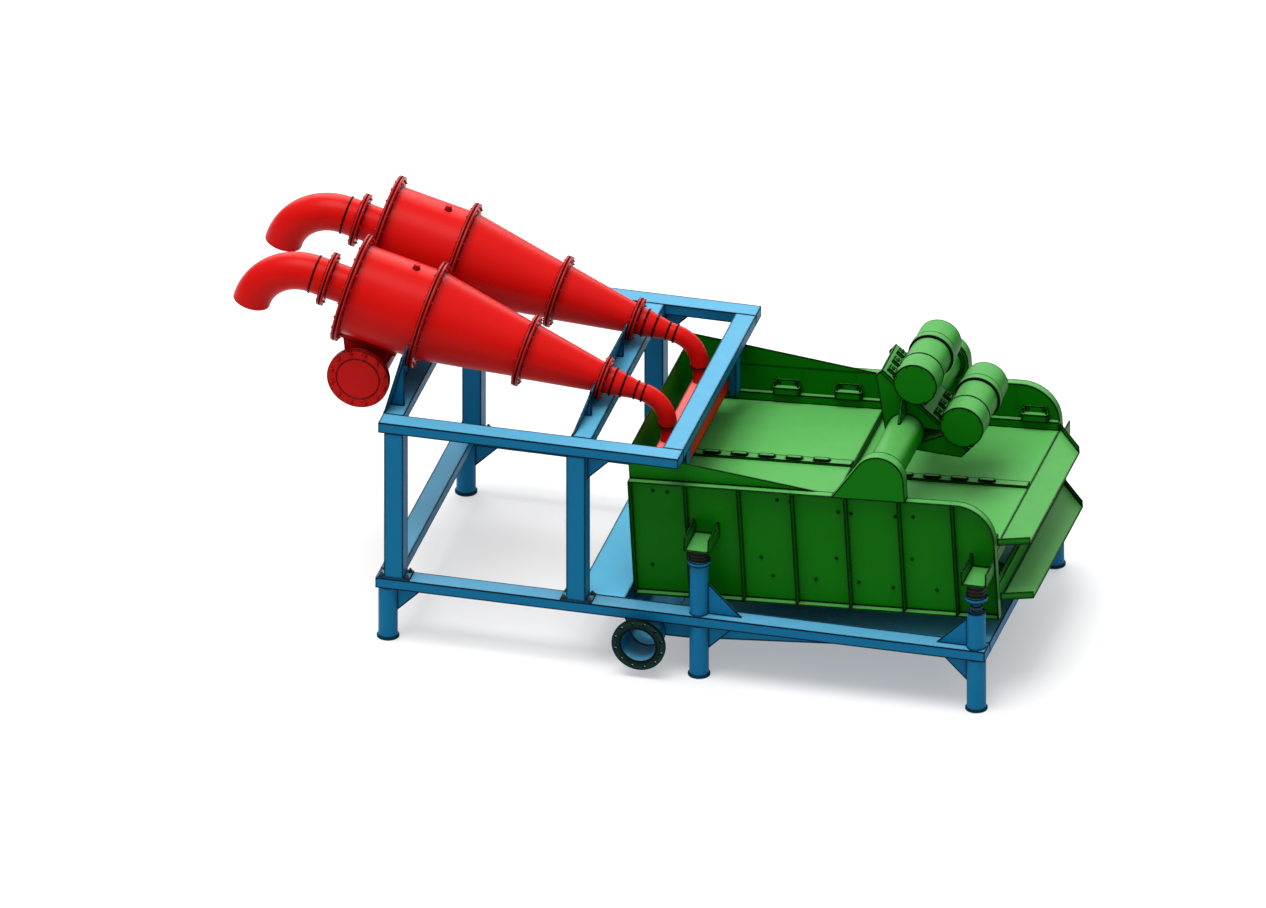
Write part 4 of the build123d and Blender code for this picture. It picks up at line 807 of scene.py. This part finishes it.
# along the motor from the machine's middle: the covers' rims with the way each faces, and the joints
COVER_RIMS = ((-0.336, -1), (0.374, 1))
COVER_CIRCLE, COVER_SCREWS, COVER_SCREW = 0.146, 8, 0.007
SCREW_SUNK = 0.002
SEAL_JOINTS = (-0.1425, 0.1095, 0.1845)
MOTOR_SEAL = ((-0.0035, 0.1625), (0.0035, 0.1625), (0.0035, 0.149), (-0.0035, 0.149))
cover_screws, seals = [], []
for number in (0, 1):
    axis_point = MOTOR_AXIS + DOWN_BENCH * number * MOTOR_PITCH
    for y, hand in COVER_RIMS:
        rim = bolt_circle(axis_point + SIDEWAYS * y, COVER_CIRCLE, COVER_SCREWS, U, V)
        facing = SIDEWAYS * hand
        cover_screws.append(hex_bolts(rim - facing * SCREW_SUNK, facing, COVER_SCREW, stub=0.1))
    for y in SEAL_JOINTS:
        seals.append(turned(MOTOR_SEAL, axis_point + SIDEWAYS * y, (0, 1, 0), 64, ring=True))
piece("motor_cover_screws", joined(*cover_screws), green_weld)
piece("motor_seals", joined(*seals), gasket)


# Screen panels
# Moulded polyurethane panels with fine slots across the flow, paler than the steel and wet-worn along
# their joints.

# panel colour, and the paler colour painted on its upward faces as light from above
PANEL, PANEL_LIT_TOP = (0.020, 0.150, 0.018), (0.070, 0.285, 0.065)
# rows of slots and the bars between them: pitch, and the share of it that is slot or bar
SLOT_PITCH, SLOT_SHARE = 0.012, 0.12
BAR_PITCH, BAR_SHARE = 0.050, 0.16


def slotted(name, paint, top):
    """Panel finish: a slow wear drift, and rows of narrow slots across the deck painted darker as the shade
    in them.
    """
    material = painted(name, paint, top, GREEN_EDGE, gloss=0.42, strength=0.7)
    tree, link = material.node_tree.nodes, material.node_tree.links.new
    place = tree.new("ShaderNodeTexCoord")
    turn = tree.new("ShaderNodeMapping")
    turn.inputs["Location"].default_value = (-BOX_X, -MID_Y, -BOX_Z)
    link(place.outputs["Object"], turn.inputs["Vector"])
    split = tree.new("ShaderNodeSeparateXYZ")
    link(turn.outputs["Vector"], split.inputs[0])

    def grooves(socket, spacing, narrow):
        """1 in a groove and 0 between, as (x / spacing) mod 1 under a narrow share."""
        share = tree.new("ShaderNodeMath")
        share.operation = "DIVIDE"
        link(socket, share.inputs[0])
        share.inputs[1].default_value = spacing
        rest = tree.new("ShaderNodeMath")
        rest.operation = "FRACT"
        link(share.outputs[0], rest.inputs[0])
        low = tree.new("ShaderNodeMath")
        low.operation = "LESS_THAN"
        link(rest.outputs[0], low.inputs[0])
        low.inputs[1].default_value = narrow
        return low.outputs[0]

    rows = grooves(split.outputs["X"], SLOT_PITCH, SLOT_SHARE)
    bars = grooves(split.outputs["Y"], BAR_PITCH, BAR_SHARE)
    slots = tree.new("ShaderNodeMath")
    slots.operation = "SUBTRACT"
    slots.use_clamp = True
    link(rows, slots.inputs[0])
    link(bars, slots.inputs[1])
    coat = next(node for node in tree if node.bl_idname == "ShaderNodeGroup")
    # painted shade: the slots are painted darker where their openings would be in shade
    mix = tree.new("ShaderNodeMix")
    mix.data_type = "RGBA"
    link(slots.outputs[0], mix.inputs["Factor"])
    link(coat.outputs["Colour"], mix.inputs["A"])
    mix.inputs["B"].default_value = (*(part * 0.55 for part in top), 1.0)
    link(mix.outputs["Result"], tree["Principled BSDF"].inputs["Base Color"])
    return material


finish_nodes(slotted("deck_panel", PANEL, PANEL_LIT_TOP), "deck_feed_panel", "deck_discharge_panel")


# Rubber springs
# Black moulded rubber barrels with ribs, between the cups on the posts and the brackets on the side plates.

CUP_THICK = 0.012
SPRING_TOP = SHELF_LOW
SPRING_WAIST, SPRING_RIB, SPRING_RIBS = 0.0620, 0.0085, 4
# black rubber, its upward faces painted a little paler as painted top light
rubber = painted("spring_rubber", (0.0022, 0.0022, 0.0022), (0.0050, 0.0050, 0.0050),
                 (0.0008, 0.0008, 0.0008), gloss=0.5, specular=0.2, width=0.003)
# profile of a spring: radius = waist + rib * |sin(4 pi t)| ^ 0.7, with t the share of its height
t = np.linspace(0.0, 1.0, 41)
girth = SPRING_WAIST + SPRING_RIB * np.abs(np.sin(t * np.pi * SPRING_RIBS)) ** 0.7
spring_parts = []
for side in (-1, 1):
    for x, cup in zip(SPRING_X, CUP_BASES):
        low = cup + CUP_THICK
        profile = np.column_stack([low + (SPRING_TOP - low) * t, girth])
        spring_parts.append(turned(profile, (x, MID_Y + side * LEG_Y, 0.0), UPRIGHT, 40))
springs = piece("ribbed_springs", joined(*spring_parts), rubber, smooth=60.0)
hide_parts("rubber_springs")
finish_nodes(rubber, "rubber_springs")


# Floor, light and camera
# A plain pale floor under a broad overhead light, seen from the side and above with no perspective.

FLOOR_REACH = 60.0
floor_mesh = bpy.data.meshes.new("floor")
floor_mesh.from_pydata([(x * FLOOR_REACH, y * FLOOR_REACH, 0) for x, y in SQUARE[:4]], [], [(0, 1, 2, 3)])
floor = bpy.data.objects.new("floor", floor_mesh)
bpy.context.scene.collection.objects.link(floor)
floor_paint = bpy.data.materials.new("floor_white")
floor_paint.use_nodes = True
floor_shader = floor_paint.node_tree.nodes["Principled BSDF"]
floor_shader.inputs["Base Color"].default_value = (0.40, 0.40, 0.40, 1)
floor_shader.inputs["Roughness"].default_value = 0.9
# a faint glow keeps the floor pale and the shadow light
floor_shader.inputs["Emission Color"].default_value = (1.0, 1.0, 1.0, 1.0)
floor_shader.inputs["Emission Strength"].default_value = 0.36
floor_mesh.materials.append(floor_paint)

world = bpy.data.worlds.new("studio")
bpy.context.scene.world = world
world.use_nodes = True
sky, sky_link = world.node_tree.nodes, world.node_tree.links.new
# brighter overhead: strength = 0.25 + 1.5 z squared of the direction looked in
towards = sky.new("ShaderNodeTexCoord")
height = sky.new("ShaderNodeSeparateXYZ")
sky_link(towards.outputs["Generated"], height.inputs[0])
above = sky.new("ShaderNodeMath")
above.operation = "MAXIMUM"
sky_link(height.outputs["Z"], above.inputs[0])
above.inputs[1].default_value = 0.0
squared = sky.new("ShaderNodeMath")
squared.operation = "POWER"
sky_link(above.outputs[0], squared.inputs[0])
squared.inputs[1].default_value = 2.0
strength = sky.new("ShaderNodeMath")
strength.operation = "MULTIPLY_ADD"
sky_link(squared.outputs[0], strength.inputs[0])
strength.inputs[1].default_value = 1.5
strength.inputs[2].default_value = 0.25
sky["Background"].inputs["Color"].default_value = (1.0, 1.0, 1.0, 1.0)
sky_link(strength.outputs[0], sky["Background"].inputs["Strength"])


def aimed(name, data, place, target):
    """Places a light and turns it to face a target."""
    light = bpy.data.objects.new(name, data)
    bpy.context.scene.collection.objects.link(light)
    back = np.array(place, float) - np.array(target, float)
    back /= np.linalg.norm(back)
    side = np.cross((0.0, 0.02, 1.0), back)
    side /= np.linalg.norm(side)
    up = np.cross(back, side)
    light.matrix_world = Matrix([[side[i], up[i], back[i], place[i]] for i in range(3)] + [[0, 0, 0, 1]])
    return light


# a soft sun from overhead, and a wide panel behind the machine for the sheen on its tops
MIDDLE = (1.7, 1.1, 1.0)
GLOW_SIZE = (26.0, 9.0)
GLOW_STRENGTH = 3.0
key = bpy.data.lights.new("overhead_key", "SUN")
key.energy = 3.2
key.angle = math.radians(38.0)
aimed("overhead_key", key, (0.2, -0.6, 12.0), MIDDLE)
panel = bpy.data.lights.new("back_panel", "AREA")
panel.shape = "RECTANGLE"
panel.size, panel.size_y = GLOW_SIZE
panel.energy = GLOW_SIZE[0] * GLOW_SIZE[1] * GLOW_STRENGTH * math.pi
aimed("back_panel", panel, (-1.5, 15.0, 8.4), MIDDLE).visible_camera = False

# the view's own directions, the point in its middle, its width and how far back the camera stands
VIEW_ALONG = np.array([-0.2200, 0.8508, -0.4772])
VIEW_RIGHT = np.array([0.9681, 0.2504, 0.0])
VIEW_UP = np.array([-0.1195, 0.4620, 0.8788])
VIEW_CENTRE = np.array([1.3287, 1.8589, 0.6791])
VIEW_WIDTH = 9.052
VIEW_DISTANCE = 22.0
camera_data = bpy.data.cameras.new("camera")
camera_data.type = "ORTHO"
camera_data.ortho_scale = VIEW_WIDTH
camera_data.clip_end = 100.0
camera = bpy.data.objects.new("camera", camera_data)
bpy.context.scene.collection.objects.link(camera)
stand = VIEW_CENTRE - VIEW_ALONG * VIEW_DISTANCE
camera.matrix_world = Matrix([[VIEW_RIGHT[i], VIEW_UP[i], -VIEW_ALONG[i], stand[i]] for i in range(3)]
                             + [[0, 0, 0, 1]])
bpy.context.scene.camera = camera
bpy.context.scene.view_settings.view_transform = "Standard"
